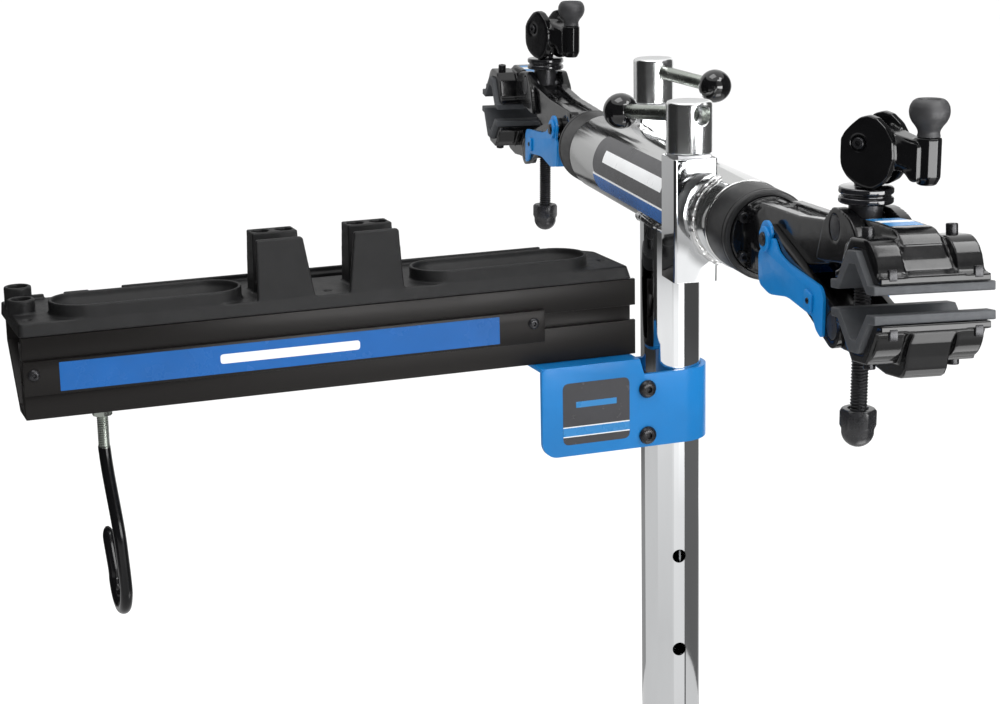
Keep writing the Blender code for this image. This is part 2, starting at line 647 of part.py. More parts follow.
def build_tray(mats):
    place = turn("Z", TRAY_ANGLE)
    f = RAIL_FACE
    y1 = RAIL_END
    y0 = RAIL_END - RAIL_LENGTH

    # rail extrusion with a slot along its face and a sloping back
    section = [(f, RAIL_TOP), (f, -115), (f - 4, -115), (f - 4, -111), (f - 13, -111), (f - 13, -134),
               (f - 4, -134),
               (f - 4, -130), (f, -130), (f, RAIL_BOTTOM), (f - 36, RAIL_BOTTOM), (f - RAIL_DEPTH, -109),
               (f - RAIL_DEPTH, RAIL_TOP), (f - RAIL_DEPTH + 5, RAIL_TOP), (f - RAIL_DEPTH + 5, -107),
               (f - 38, -158), (f - 18, -158), (f - 18, -95), (f - 5, -95), (f - 5, RAIL_TOP)]
    rail = prism(section, y0, y1, "XZ")
    hook_hole = moved(cylinder(6.0, -180, -150, 16), shift(HOOK_X, HOOK_Y))
    screws = []
    for y in (y0 + 9.0, y1 - 111.0):
        screws.append(("-", moved(cylinder(2.9, -20, 20, 12), shift(f - 13, y, -122.5) @ ALONG_X)))
    piece(combine(rail, ("-", hook_hole), *screws), "tool_rail", mats["rail"], place)

    # moulded tray on top of the rail
    z0 = RAIL_TOP + GAP
    front = f + 1.0
    rear = f - 112.0
    left_end = y0 - 1.5
    outline = [(front, left_end), (front, y1 - 4), (front - 88, y1 - 4), (rear, y1 - 26), (rear, left_end)]
    low = rounded(outline, 4, 2)
    top = rounded([(front - 1.5, left_end + 0.5), (front - 1.5, y1 - 8), (front - 86, y1 - 8),
                   (rear + 3, y1 - 28),
                   (rear + 3, left_end + 0.5)], 4, 2)
    tray = hull([(x, y, z0) for x, y in low] + [(x, y, TRAY_DECK) for x, y in top])
    steps = []
    for lo, hi in ((y0 + 32.0, y0 + 213.0), (y1 - 224.0, y1 - 41.0)):
        middle = front - 1.5 - POCKET_OUTER
        ends = (hi - POCKET_OUTER, lo + POCKET_OUTER)
        for radius, sign, low_z, high_z in ((POCKET_OUTER, "+", -4, 12.5), (POCKET_INNER, "-", -6, 30)):
            stadium = arc(middle, ends[0], radius, 0, 180, 7) + arc(middle, ends[1], radius, 180, 360, 7)
            steps.append((sign, prism(stadium, TRAY_DECK + low_z, TRAY_DECK + high_z)))
    # two tool holders: a tapered front plate, a low step behind it and a drilled block
    for left, feet, tops in ((y1 - 381.0, (-4.5, 52.0), (-4.0, 41.5)),
                             (y1 - 286.5, (-9.5, 45.5), (-3.0, 41.5))):
        plate = [(left + feet[0], TRAY_DECK - 3), (left + feet[1], TRAY_DECK - 3), (left + tops[1], -17),
                 (left + tops[0], -17)]
        steps.append(("+", prism(plate, front - 6, front - 1.5, "YZ")))
        steps.append(("+", box(front - 40, front - 4, left + 3, left + 40, TRAY_DECK - 3, -64)))
        steps.append(("+", box(front - 62, front - 38, left + 2, left + 46, TRAY_DECK - 3, -17)))
        for y in (left + 12.5, left + 35.5):
            pocket = arc(0, 0, 8.4, 0, 330, 11)
            steps.append(("-", moved(prism(pocket, -70, 10), shift(front - 50, y))))
    for dx, dy, top_z in ((50.0, 9.5, -61.5), (88.0, 12.5, -57.0)):
        socket = moved(cylinder(12.8, TRAY_DECK - 3, top_z, 16), shift(front - dx, y0 + dy))
        hole = moved(cylinder(9.0, TRAY_DECK + 2, -40, 12), shift(front - dx, y0 + dy))
        steps.append(("+", socket))
        steps.append(("-", hole))
    # low rim pieces along the back edge and a shallow slot between the holders
    for a, b in ((y0 + 26.5, y0 + 39.5), (y0 + 58.5, y0 + 82.5)):
        steps.append(("+", box(rear + 3.5, rear + 8, a, b, TRAY_DECK - 3, TRAY_DECK + 4.2)))
    steps.append(("+", box(rear + 3.5, rear + 7, y0 + 114.0, y1 - 60.0, TRAY_DECK - 3, TRAY_DECK + 5.6)))
    steps.append(("-", box(front - 103, front - 86, y1 - 345, y1 - 268, TRAY_DECK - 7, TRAY_DECK + 20)))
    piece(combine(tray, *steps), "tool_tray", mats["plastic"], place)

    # label bar in the slot
    bar = box(f + GAP, f + 4.0, y0 - 0.5, y1 - 99.0, -142, -110)
    steps = []
    for y in (y0 + 9.0, y1 - 111.0):
        steps.append(("-", moved(cylinder(2.9, -20, 40, 12), shift(f - 13, y, -122.5) @ ALONG_X)))
    piece(combine(bar, *steps), "label_plate", mats["rail"], place)
    for tag, y in (("left", y0 + 9.0), ("right", y1 - 111.0)):
        screw = spin_profile([(0.0, f + 6.0), (2.2, f + 6.0), (2.2, f + 7.6), (3.6, f + 7.4),
                              (5.2, f + 6.2), (5.6, f + 4.3),
                              (2.6, f + 4.3), (2.6, f - 10.0), (0.0, f - 10.0)], 12)
        piece(moved(screw, shift(0, y, -122.5) @ ALONG_X), "label_screw_" + tag, mats["bolt"], place)

    # bracket: front plate, wrap round the column, rear plate and the ledge under the rail
    wrap = arc(0, 0, BRACKET_OUTER, 0, 180, 14)
    inside = arc(0, 0, BRACKET_INNER, 180, 0, 14)
    u_shape = [(BRACKET_OUTER, -62.0)] + wrap + [(-BRACKET_OUTER, -62.0), (-BRACKET_INNER, -62.0)] + inside
    u_shape.append((BRACKET_INNER, -62.0))
    band = prism(u_shape, BRACKET_BOTTOM, BRACKET_BAND_TOP)
    edge = 16.0
    ledge_top = RAIL_BOTTOM - GAP
    outline = [(-50.0, ledge_top), (BRACKET_LEFT, ledge_top), (BRACKET_LEFT, BRACKET_BOTTOM + edge)]
    outline += arc(BRACKET_LEFT + edge, BRACKET_BOTTOM + edge, edge, 180, 270, 5)[1:]
    outline += [(-45.0, BRACKET_BOTTOM), (-45.0, BRACKET_BAND_TOP)]
    front_plate = prism(outline, BRACKET_INNER, BRACKET_OUTER, "YZ")
    ledge = box(-22.0, BRACKET_OUTER - 1.2, BRACKET_LEFT, -50.0, ledge_top - 4, ledge_top)
    steps = [("+", front_plate), ("+", ledge)]
    for z in (-197.0, -245.0):
        steps.append(("-", moved(cylinder(4.6, -60, 60, 16), shift(0, -42.0, z) @ ALONG_X)))
    piece(combine(band, *steps), "tray_bracket", mats["blue"], place)
    for tag, z in (("upper", -197.0), ("lower", -245.0)):
        head = BRACKET_OUTER + GAP
        bolt = spin_profile([(0.0, head + 2.0), (3.4, head + 2.0), (3.4, head + 5.6), (5.6, head + 5.4),
                             (8.4, head + 3.4),
                             (9.2, head), (4.2, head), (4.2, -46.0), (0.0, -46.0)], 16)
        piece(moved(bolt, shift(0, -42.0, z) @ ALONG_X), "bracket_bolt_" + tag, mats["bolt"], place)

    # hook and its nut
    nut = combine(prism(arc(0, 0, 10.0, 0, 300, 5), -173.5, RAIL_BOTTOM - GAP),
                  ("-", cylinder(6.0, -200, -150, 16)))
    piece(moved(nut, shift(HOOK_X, HOOK_Y)), "hook_nut", mats["zinc"], place, (HOOK_X, HOOK_Y, 0.0))
    path = [(0, 0, -146), (0, 0, -206), (7, 1, -230), (25, 4, -278), (29, 5.5, -306)]
    for i in range(9):
        a = math.radians(-22.5 * i)
        path.append((29 * math.cos(a), 7.0, -335 + 29 * math.sin(a)))
    path += [(-35, 5.5, -312), (-42, 5, -296)]
    piece(moved(tube_along(path, 5.6, 10), shift(HOOK_X, HOOK_Y)), "hook", mats["vinyl"], place,
          (HOOK_X, HOOK_Y, 0.0))


def build():
    wipe()
    mats = {
        "chrome": material("chrome_plate", (0.78, 0.79, 0.80), 0.08, 1.0),
        "zinc": material("zinc_steel", (0.62, 0.66, 0.62), 0.3, 1.0),
        "steel": material("bare_steel", (0.42, 0.42, 0.43), 0.4, 1.0),
        "steel_dark": material("blackened_steel", (0.05, 0.05, 0.05), 0.45, 0.4),
        "coat": material("dark_powder_coat", (0.03, 0.03, 0.035), 0.5),
        "sleeve": material("black_sleeve", (0.03, 0.03, 0.03), 0.45),
        "casting": material("gloss_black_casting", (0.018, 0.018, 0.02), 0.22),
        "collar": material("black_collar", (0.02, 0.02, 0.022), 0.15),
        "thread": material("black_threaded_steel", (0.03, 0.03, 0.03), 0.4, 0.5),
        "ball": material("black_ball_plastic", (0.012, 0.012, 0.014), 0.1),
        "knob": material("soft_black_knob", (0.04, 0.04, 0.045), 0.6),
        "rubber": material("grey_black_rubber", (0.05, 0.055, 0.06), 0.75),
        "blue": material("blue_powder_coat", (0.0, 0.13, 0.55), 0.35),
        "plastic": material("black_tray_plastic", (0.02, 0.02, 0.022), 0.6),
        "rail": material("black_anodised_rail", (0.035, 0.03, 0.03), 0.35, 0.6),
        "bolt": material("black_oxide_bolt", (0.025, 0.025, 0.03), 0.3, 0.5),
        "vinyl": material("black_vinyl", (0.015, 0.015, 0.017), 0.25),
    }
    build_mast(mats)
    build_lock(1, "near", BAR_AZIMUTH, mats)
    build_lock(-1, "far", BAR_AZIMUTH, mats)
    build_clamp(1, "near", NEAR_LEVER_AZIMUTH, mats)
    build_clamp(-1, "far", FAR_LEVER_AZIMUTH, mats)
    build_tray(mats)


build()
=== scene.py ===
"""Bike repair stand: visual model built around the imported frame. Shapes are drawn in millimetres about the
cross-tube axis, then scaled to metres and raised to their place."""
import json
import math
import bmesh
import bpy
from mathutils import Matrix, Vector, noise


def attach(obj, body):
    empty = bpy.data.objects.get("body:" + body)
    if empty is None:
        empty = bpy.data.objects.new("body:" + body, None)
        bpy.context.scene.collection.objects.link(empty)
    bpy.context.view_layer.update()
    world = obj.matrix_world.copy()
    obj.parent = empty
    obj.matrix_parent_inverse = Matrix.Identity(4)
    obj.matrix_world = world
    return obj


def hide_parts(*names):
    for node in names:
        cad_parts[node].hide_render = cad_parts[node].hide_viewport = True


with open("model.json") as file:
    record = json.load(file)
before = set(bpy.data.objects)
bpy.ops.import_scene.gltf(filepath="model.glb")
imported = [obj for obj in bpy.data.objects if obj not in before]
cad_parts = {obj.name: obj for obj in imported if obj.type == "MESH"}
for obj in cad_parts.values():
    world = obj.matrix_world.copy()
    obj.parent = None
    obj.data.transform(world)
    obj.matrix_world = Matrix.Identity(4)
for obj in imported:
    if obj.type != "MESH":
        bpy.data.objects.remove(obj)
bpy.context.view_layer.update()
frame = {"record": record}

MM = 0.001
AXIS_HEIGHT = 1143.0
BODY_OF = {n: b for b, ns in frame["record"]["behaviour"]["bodies"].items() for n in ns}


# ------------------------------------------------------------------ shape helpers

def arc(cx, cy, radius, start, stop, steps):
    out = []
    for i in range(steps + 1):
        a = math.radians(start + (stop - start) * i / steps)
        out.append((cx + radius * math.cos(a), cy + radius * math.sin(a)))
    return out


def rounded(points, radius, steps=6):
    """Round every corner of a polygon."""
    out = []
    n = len(points)
    for i in range(n):
        p = Vector(points[i])
        a = Vector(points[i - 1]) - p
        b = Vector(points[(i + 1) % n]) - p
        reach = min(radius, 0.45 * a.length, 0.45 * b.length)
        p0 = p + a.normalized() * reach
        p1 = p + b.normalized() * reach
        for k in range(steps + 1):
            t = k / steps
            q = p0 * (1 - t) ** 2 + p * (2 * t * (1 - t)) + p1 * t ** 2
            out.append((q.x, q.y))
    return out


def lobe_hull(c0, r0, c1, r1, steps=24):
    """Outline of two circles joined by their outer tangents."""
    d = math.hypot(c1[0] - c0[0], c1[1] - c0[1])
    base = math.degrees(math.atan2(c1[1] - c0[1], c1[0] - c0[0]))
    swing = math.degrees(math.acos((r0 - r1) / d))
    return (arc(c0[0], c0[1], r0, base + swing, base + 360 - swing, steps)
            + arc(c1[0], c1[1], r1, base - swing, base + swing, steps))


def lathe(profile, segments=96):
    """Solid of revolution about Z from (radius, height) points; a loop when first and last points match."""
    bm = bmesh.new()
    closed = profile[0] == profile[-1]
    points = profile[:-1] if closed else profile
    rings = []
    for radius, height in points:
        if radius < 1e-6:
            rings.append([bm.verts.new((0, 0, height))])
            continue
        steps = range(segments)
        rings.append([bm.verts.new((radius * math.cos(2 * math.pi * i / segments),
                                    radius * math.sin(2 * math.pi * i / segments), height)) for i in steps])
    pairs = list(zip(rings, rings[1:]))
    if closed:
        pairs.append((rings[-1], rings[0]))
    for upper, lower in pairs:
        for i in range(segments):
            j = (i + 1) % segments
            if len(upper) == 1 and len(lower) == 1:
                continue
            if len(upper) == 1:
                bm.faces.new((upper[0], lower[i], lower[j]))
            elif len(lower) == 1:
                bm.faces.new((upper[j], upper[i], lower[0]))
            else:
                bm.faces.new((upper[j], upper[i], lower[i], lower[j]))
    if not closed:
        for end in (rings[0], rings[-1]):
            if len(end) > 1:
                bm.faces.new(end)
    bmesh.ops.recalc_face_normals(bm, faces=bm.faces)
    return bm


def soft(profile, radius, steps=5):
    """Round the corners of an open lathe profile, keeping its ends."""
    out = [profile[0]]
    for before, here, after in zip(profile, profile[1:], profile[2:]):
        p = Vector(here)
        a = Vector(before) - p
        b = Vector(after) - p
        reach = min(radius, 0.45 * a.length, 0.45 * b.length)
        p0 = p + a.normalized() * reach
        p1 = p + b.normalized() * reach
        for k in range(steps + 1):
            t = k / steps
            q = p0 * (1 - t) ** 2 + p * (2 * t * (1 - t)) + p1 * t ** 2
            out.append((max(q.x, 0.0), q.y))
    out.append(profile[-1])
    return out


def cylinder(radius, low, high, segments=64, edge=0.0):
    if edge:
        top = arc(radius - edge, high - edge, edge, 90, 0, 4)
        bottom = arc(radius - edge, low + edge, edge, 0, -90, 4)
        return lathe([(0.0, high)] + top + bottom + [(0.0, low)], segments)
    return lathe([(radius, high), (radius, low)], segments)


def tube_ring(outer, inner, low, high, segments=96, edge=0.8):
    corners = (arc(inner + edge, high - edge, edge, 180, 90, 3) + arc(outer - edge, high - edge, edge, 90, 0, 3)
               + arc(outer - edge, low + edge, edge, 0, -90, 3) + arc(inner + edge, low + edge, edge, -90, -180, 3))
    return lathe(corners + [corners[0]], segments)


def prism(points, low, high, plane="XY"):
    """Extrude a polygon: plane XY along Z, XZ along Y, YZ along X."""
    bm = bmesh.new()
    place = {
        "XY": lambda a, b, h: (a, b, h),
        "XZ": lambda a, b, h: (a, h, b),
        "YZ": lambda a, b, h: (h, a, b),
    }[plane]
    bottom = [bm.verts.new(place(a, b, low)) for a, b in points]
    top = [bm.verts.new(place(a, b, high)) for a, b in points]
    bm.faces.new(bottom)
    bm.faces.new(top)
    n = len(points)
    for i in range(n):
        j = (i + 1) % n
        bm.faces.new((bottom[i], bottom[j], top[j], top[i]))
    bmesh.ops.recalc_face_normals(bm, faces=bm.faces)
    return bm


def box(x0, x1, y0, y1, z0, z1):
    return prism([(x0, y0), (x1, y0), (x1, y1), (x0, y1)], z0, z1)


def hull(points):
    bm = bmesh.new()
    for p in points:
        bm.verts.new(p)
    result = bmesh.ops.convex_hull(bm, input=bm.verts)
    inside = set(result["geom_interior"] + result["geom_unused"])
    bmesh.ops.delete(bm, geom=[g for g in inside if isinstance(g, bmesh.types.BMVert)], context="VERTS")
    bmesh.ops.recalc_face_normals(bm, faces=bm.faces)
    return bm


def smooth_path(points, steps=10):
    """Catmull-Rom curve through the points."""
    pts = [Vector(p) for p in points]
    pts = [pts[0] * 2 - pts[1]] + pts + [pts[-1] * 2 - pts[-2]]
    out = []
    for i in range(1, len(pts) - 2):
        a, b, c, d = pts[i - 1:i + 3]
        for k in range(steps):
            t = k / steps
            out.append(0.5 * (2 * b + (c - a) * t + (2 * a - 5 * b + 4 * c - d) * t ** 2
                              + (3 * b - a - 3 * c + d) * t ** 3))
    out.append(pts[-2])
    return out


def bar_along(path, radius, segments=24, loop=False):
    """Round bar along a path; radius is a number or a function of the point's index."""
    bm = bmesh.new()
    pts = [Vector(p) for p in path]
    n = len(pts)
    size = radius if callable(radius) else (lambda i: radius)
    rings = []
    side = None
    for i, p in enumerate(pts):
        before = pts[(i - 1) % n] if loop else pts[max(i - 1, 0)]
        after = pts[(i + 1) % n] if loop else pts[min(i + 1, n - 1)]
        t = (after - before).normalized()
        side = t.orthogonal().normalized() if side is None else (side - t * side.dot(t)).normalized()
        other = t.cross(side)
        ring = []
        for k in range(segments):
            a = 2 * math.pi * k / segments
            ring.append(bm.verts.new(p + (side * math.cos(a) + other * math.sin(a)) * size(i)))
        rings.append(ring)
    pairs = list(zip(rings, rings[1:]))
    if loop:
        # join the last ring to the first with the smallest twist
        shift_by = min(range(segments), key=lambda s: (rings[-1][0].co - rings[0][s].co).length)
        pairs.append((rings[-1], rings[0][shift_by:] + rings[0][:shift_by]))
    for r0, r1 in pairs:
        for k in range(segments):
            j = (k + 1) % segments
            bm.faces.new((r0[k], r0[j], r1[j], r1[k]))
    if not loop:
        bm.faces.new(rings[0])
        bm.faces.new(rings[-1])
    bmesh.ops.recalc_face_normals(bm, faces=bm.faces)
    return bm


def threaded(radius, depth, pitch, low, high, segments=40, rows_per_turn=8):
    """Rod with a real helical thread."""
    bm = bmesh.new()
    rows = int((high - low) / pitch * rows_per_turn)
    rings = []
    for i in range(rows + 1):
        z = low + (high - low) * i / rows
        fade = min(1.0, (z - low) / 2.0 + 0.15, (high - z) / 2.0 + 0.15)
        ring = []
        for k in range(segments):
            a = 2 * math.pi * k / segments
            wave = 0.5 - 0.5 * math.cos(2 * math.pi * (z / pitch - k / segments))
            r = radius - depth * wave * fade
            ring.append(bm.verts.new((r * math.cos(a), r * math.sin(a), z)))
        rings.append(ring)
    for r0, r1 in zip(rings, rings[1:]):
        for k in range(segments):
            j = (k + 1) % segments
            bm.faces.new((r0[k], r0[j], r1[j], r1[k]))
    bm.faces.new(rings[0])
    bm.faces.new(rings[-1])
    bmesh.ops.recalc_face_normals(bm, faces=bm.faces)
    return bm


def moved(bm, matrix):
    bm.transform(matrix)
    return bm


def shift(x=0.0, y=0.0, z=0.0):
    return Matrix.Translation((x, y, z))


def turn(axis, degrees):
    return Matrix.Rotation(math.radians(degrees), 4, axis)


ALONG_X = turn("Y", 90)
ALONG_Y = turn("X", 90)


def mesh_object(bm, name):
    mesh = bpy.data.meshes.new(name)
    bm.to_mesh(mesh)
    bm.free()
    ob = bpy.data.objects.new(name, mesh)
    bpy.context.scene.collection.objects.link(ob)
    return ob


def evaluated(ob):
    """The object's mesh with its modifiers applied, as a new bmesh; the object goes away."""
    depsgraph = bpy.context.evaluated_depsgraph_get()
    result = bmesh.new()
    result.from_mesh(ob.evaluated_get(depsgraph).to_mesh())
    bpy.data.objects.remove(ob, do_unlink=True)
    return result


OPERATIONS = {"+": "UNION", "-": "DIFFERENCE", "&": "INTERSECT"}


def combine(base, *steps):
    """Apply exact booleans in order; each step is ('+', '-' or '&', bmesh)."""
    ob = mesh_object(base, "work")
    tools = []
    for sign, tool in steps:
        cutter = mesh_object(tool, "tool")
        tools.append(cutter)
        mod = ob.modifiers.new("step", "BOOLEAN")
        mod.operation = OPERATIONS[sign]
        mod.solver = "EXACT"
        mod.object = cutter
    result = evaluated(ob)
    for item in tools:
        bpy.data.objects.remove(item, do_unlink=True)
    bmesh.ops.remove_doubles(result, verts=result.verts, dist=0.002)
    bmesh.ops.dissolve_degenerate(result, edges=result.edges, dist=0.002)
    return result


def eased(bm, width, segments=3, angle=35.0):
    """Round the sharp edges by a small radius."""
    ob = mesh_object(bm, "work")
    mod = ob.modifiers.new("ease", "BEVEL")
    mod.width = width
    mod.segments = segments
    mod.limit_method = "ANGLE"
    mod.angle_limit = math.radians(angle)
    mod.miter_outer = "MITER_ARC"
    return evaluated(ob)


def cast(bm, voxel, rounds):
    """Fillet every edge the way a casting or moulding is: rebuild on a fine grid, then relax it."""
    ob = mesh_object(bm, "work")
    mod = ob.modifiers.new("grid", "REMESH")
    mod.mode = "VOXEL"
    mod.voxel_size = voxel
    mod.use_smooth_shade = True
    relax = ob.modifiers.new("relax", "SMOOTH")
    relax.factor = 0.5
    relax.iterations = rounds
    return evaluated(ob)


def merged(*parts):
    """Several closed solids in one mesh."""
    base = parts[0]
    for part in parts[1:]:
        mesh = bpy.data.meshes.new("part")
        part.to_mesh(mesh)
        part.free()
        base.from_mesh(mesh)
        bpy.data.meshes.remove(mesh)
    return base


def piece(bm, name, look, node=None, place=None, body=None, sharp=32.0, slot=None):
    """Turn a millimetre solid into a finished piece that rides with its body."""
    if place is not None:
        bm.transform(place)
    bm.transform(Matrix.Scale(MM, 4) @ shift(0, 0, AXIS_HEIGHT))
    for f in bm.faces:
        f.smooth = True
    for e in bm.edges:
        if e.is_manifold and e.calc_face_angle() > math.radians(sharp):
            e.smooth = False
    ob = mesh_object(bm, name)
    ob.data.materials.append(LOOKS[look])
    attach(ob, body or BODY_OF[node])
    if node and not body:
        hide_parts(node)
    return ob


# ------------------------------------------------------------------ materials

class Nodes:
    """Small helper that adds and links shader nodes."""

    def __init__(self, name):
        self.material = bpy.data.materials.new(name)
        self.material.use_nodes = True
        self.tree = self.material.node_tree
        self.shader = self.tree.nodes["Principled BSDF"]

    def add(self, kind, inputs=None, **settings):
        node = self.tree.nodes.new(kind)
        for key, value in settings.items():
            setattr(node, key, value)
        for key, value in (inputs or {}).items():
            if isinstance(value, bpy.types.NodeSocket):
                self.tree.links.new(value, node.inputs[key])
            else:
                node.inputs[key].default_value = value
        return node

    def noise(self, coords, scale, detail=3.0, roughness=0.5):
        return self.add("ShaderNodeTexNoise", {"Vector": coords, "Scale": scale, "Detail": detail,
                                               "Roughness": roughness}).outputs["Fac"]

    def span(self, value, low, high, source=(0.3, 0.7)):
        node = self.add("ShaderNodeMapRange", {"Value": value, "From Min": source[0], "From Max": source[1],
                                               "To Min": low, "To Max": high})
        return node.outputs["Result"]

    def mix(self, factor, a, b):
        node = self.tree.nodes.new("ShaderNodeMix")
        node.data_type = "RGBA"
        for socket, value in ((node.inputs[0], factor), (node.inputs[6], a), (node.inputs[7], b)):
            if isinstance(value, bpy.types.NodeSocket):
                self.tree.links.new(value, socket)
            else:
                socket.default_value = value
        return node.outputs[2]


def tone(rgb, gain):
    return (min(rgb[0] * gain, 1.0), min(rgb[1] * gain, 1.0), min(rgb[2] * gain, 1.0), 1.0)


def surface(name, rgb, rough, metal=0.0, mottle=(30.0, 0.12), grain=(900.0, 0.1), smudge=0.05, stretch=(1, 1, 1),
            coat=0.0, wear=None, specular=0.5):
    """Finish with blotchy tone, uneven gloss, fine surface relief and, where given, worn edges."""
    n = Nodes(name)
    coords = n.add("ShaderNodeTexCoord").outputs["Object"]
    lengthwise = n.add("ShaderNodeMapping", {"Vector": coords, "Scale": stretch}).outputs["Vector"]
    blotch = n.noise(lengthwise, mottle[0], 4.0, 0.6)
    color = n.mix(n.span(blotch, 0.0, 1.0), tone(rgb, 1 - mottle[1]), tone(rgb, 1 + mottle[1]))
    rough_socket = n.span(n.noise(lengthwise, mottle[0] * 2.7, 5.0, 0.65), max(rough - smudge, 0.02), rough + smudge)
    if wear:
        amount, bare = wear
        edge = n.add("ShaderNodeNewGeometry").outputs["Pointiness"]
        rub = n.add("ShaderNodeMath", {0: n.span(edge, 0.0, 1.0, (0.53, 0.62)),
                                       1: n.span(n.noise(coords, 240.0, 5.0, 0.7), 0.0, 1.0, (0.45, 0.65))},
                    operation="MULTIPLY").outputs[0]
        rub = n.add("ShaderNodeMath", {0: rub, 1: amount}, operation="MULTIPLY").outputs[0]
        color = n.mix(rub, color, (*bare, 1.0))
    relief = n.add("ShaderNodeBump", {"Height": n.noise(lengthwise, grain[0], 4.0, 0.6), "Strength": grain[1],
                                      "Distance": 0.0004})
    links = n.tree.links
    links.new(color, n.shader.inputs["Base Color"])
    links.new(rough_socket, n.shader.inputs["Roughness"])
    links.new(relief.outputs["Normal"], n.shader.inputs["Normal"])
    n.shader.inputs["Metallic"].default_value = metal
    n.shader.inputs["Specular IOR Level"].default_value = specular
    n.shader.inputs["Coat Weight"].default_value = coat
    n.shader.inputs["Coat Roughness"].default_value = 0.06
    n.material.diffuse_color = (*rgb, 1.0)
    return n.material


def make_looks():
    bare = (0.30, 0.30, 0.31)
    return {
        "chrome_plate": surface("bright_chrome", (0.74, 0.75, 0.76), 0.05, 1.0, (14.0, 0.05), (300.0, 0.012), 0.025,
                                (1, 1, 0.15)),
        "satin_chrome": surface("satin_chrome", (0.66, 0.665, 0.66), 0.12, 1.0, (14.0, 0.05), (500.0, 0.015), 0.04,
                                (0.15, 1, 1)),
        "zinc_steel": surface("passivated_zinc", (0.42, 0.45, 0.41), 0.26, 1.0, (26.0, 0.08), (260.0, 0.02), 0.06),
        "soft_chrome": surface("satin_hub_chrome", (0.80, 0.81, 0.81), 0.20, 1.0, (20.0, 0.04), (400.0, 0.01), 0.04),
        "black_nut": surface("black_nut", (0.014, 0.014, 0.016), 0.26, 0.0, (60.0, 0.2), (500.0, 0.05), 0.05),
        "weld_metal": surface("plated_weld", (0.62, 0.62, 0.62), 0.24, 1.0, (70.0, 0.14), (230.0, 0.12), 0.06),
        "bare_steel": surface("ground_steel", (0.34, 0.34, 0.35), 0.38, 1.0, (40.0, 0.12), (900.0, 0.15), 0.08,
                              (0.2, 1, 1)),
        "blackened_steel": surface("blackened_steel", (0.035, 0.035, 0.038), 0.34, 0.5, (60.0, 0.2), (900.0, 0.1), 0.08),
        "dark_powder_coat": surface("dark_powder_coat", (0.035, 0.036, 0.04), 0.45, 0.0, (12.0, 0.12), (900.0, 0.35),
                                    0.07, wear=(0.35, bare)),
        "black_sleeve": surface("matte_black_sleeve", (0.011, 0.011, 0.0115), 0.40, 0.0, (30.0, 0.15), (1300.0, 0.12), 0.06,
                                (0.3, 1, 1), specular=0.3),
        "gloss_black_casting": surface("glossy_black_casting", (0.003, 0.003, 0.0034), 0.14, 0.0, (35.0, 0.25),
                                       (260.0, 0.05), 0.05, coat=0.1, specular=0.30, wear=(0.05, bare)),
        "black_collar": surface("polished_black_collar", (0.010, 0.010, 0.012), 0.12, 0.2, (60.0, 0.2), (900.0, 0.03),
                                0.04, coat=0.6),
        "black_threaded_steel": surface("oiled_black_thread", (0.022, 0.022, 0.024), 0.33, 0.6, (120.0, 0.3),
                                        (1500.0, 0.1), 0.1),
        "black_ball_plastic": surface("phenolic_ball", (0.0035, 0.0035, 0.004), 0.07, 0.0, (40.0, 0.25), (500.0, 0.015),
                                      0.03, coat=0.5, specular=0.4),
        "soft_black_knob": surface("soft_touch_knob", (0.019, 0.019, 0.021), 0.52, 0.0, (60.0, 0.15), (1800.0, 0.3), 0.06),
        "grey_black_rubber": surface("moulded_rubber", (0.037, 0.040, 0.045), 0.58, 0.0, (70.0, 0.16), (1600.0, 0.3),
                                     0.06, specular=0.4),
        "blue_powder_coat": surface("blue_powder_coat", (0.0012, 0.150, 0.42), 0.33, 0.0, (18.0, 0.06), (750.0, 0.15),
                                    0.05, coat=0.05, specular=0.25),
        "black_tray_plastic": surface("textured_black_plastic", (0.0082, 0.0082, 0.0086), 0.5, 0.0, (40.0, 0.15),
                                      (2200.0, 0.35), 0.05, specular=0.22),
        "black_anodised_rail": surface("anodised_rail", (0.0105, 0.0095, 0.009), 0.34, 0.25, (9.0, 0.12), (900.0, 0.04),
                                       0.05, (1, 0.06, 1), specular=0.2),
        "black_oxide_bolt": surface("black_oxide_bolt", (0.018, 0.018, 0.020), 0.28, 0.5, (120.0, 0.25), (1500.0, 0.12),
                                    0.08),
        "black_vinyl": surface("dipped_black_vinyl", (0.0035, 0.0035, 0.004), 0.15, 0.0, (50.0, 0.2), (350.0, 0.06), 0.05,
                               coat=0.1, specular=0.2),
        "label_blue": surface("label_blue", (0.002, 0.085, 0.305), 0.26, 0.0, (8.0, 0.16), (1200.0, 0.02), 0.05, coat=0.05,
                              specular=0.3),
        "label_bright_blue": surface("label_bright_blue", (0.003, 0.170, 0.430), 0.28, 0.0, (20.0, 0.06),
                                     (1200.0, 0.03), 0.04),
        "label_black": surface("label_black", (0.020, 0.020, 0.024), 0.24, 0.0, (30.0, 0.15), (1200.0, 0.03), 0.05),
        "label_white": surface("label_white", (0.74, 0.75, 0.76), 0.3, 0.0, (30.0, 0.04), (1200.0, 0.03), 0.04),
        "socket_shadow": surface("socket_shadow", (0.006, 0.006, 0.006), 0.5, 0.0, (200.0, 0.3), (900.0, 0.1), 0.05),
    }


LOOKS = make_looks()


# ------------------------------------------------------------------ common small parts

def button_screw(radius, height, shank, length, key):
    """Domed screw with a hexagon socket: head rises from z 0, shank runs down."""
    dome = [(0.0, height)] + soft([(radius * 0.55, height), (radius * 0.8, height * 0.8), (radius, height * 0.25),
                                   (radius, 0.0), (shank, 0.0), (shank, -length)], 0.5, 3) + [(0.0, -length)]
    hexagon = prism(arc(0, 0, key, 0, 300, 5), height * 0.35, height + 2)
    return combine(lathe(dome, 48), ("-", hexagon))


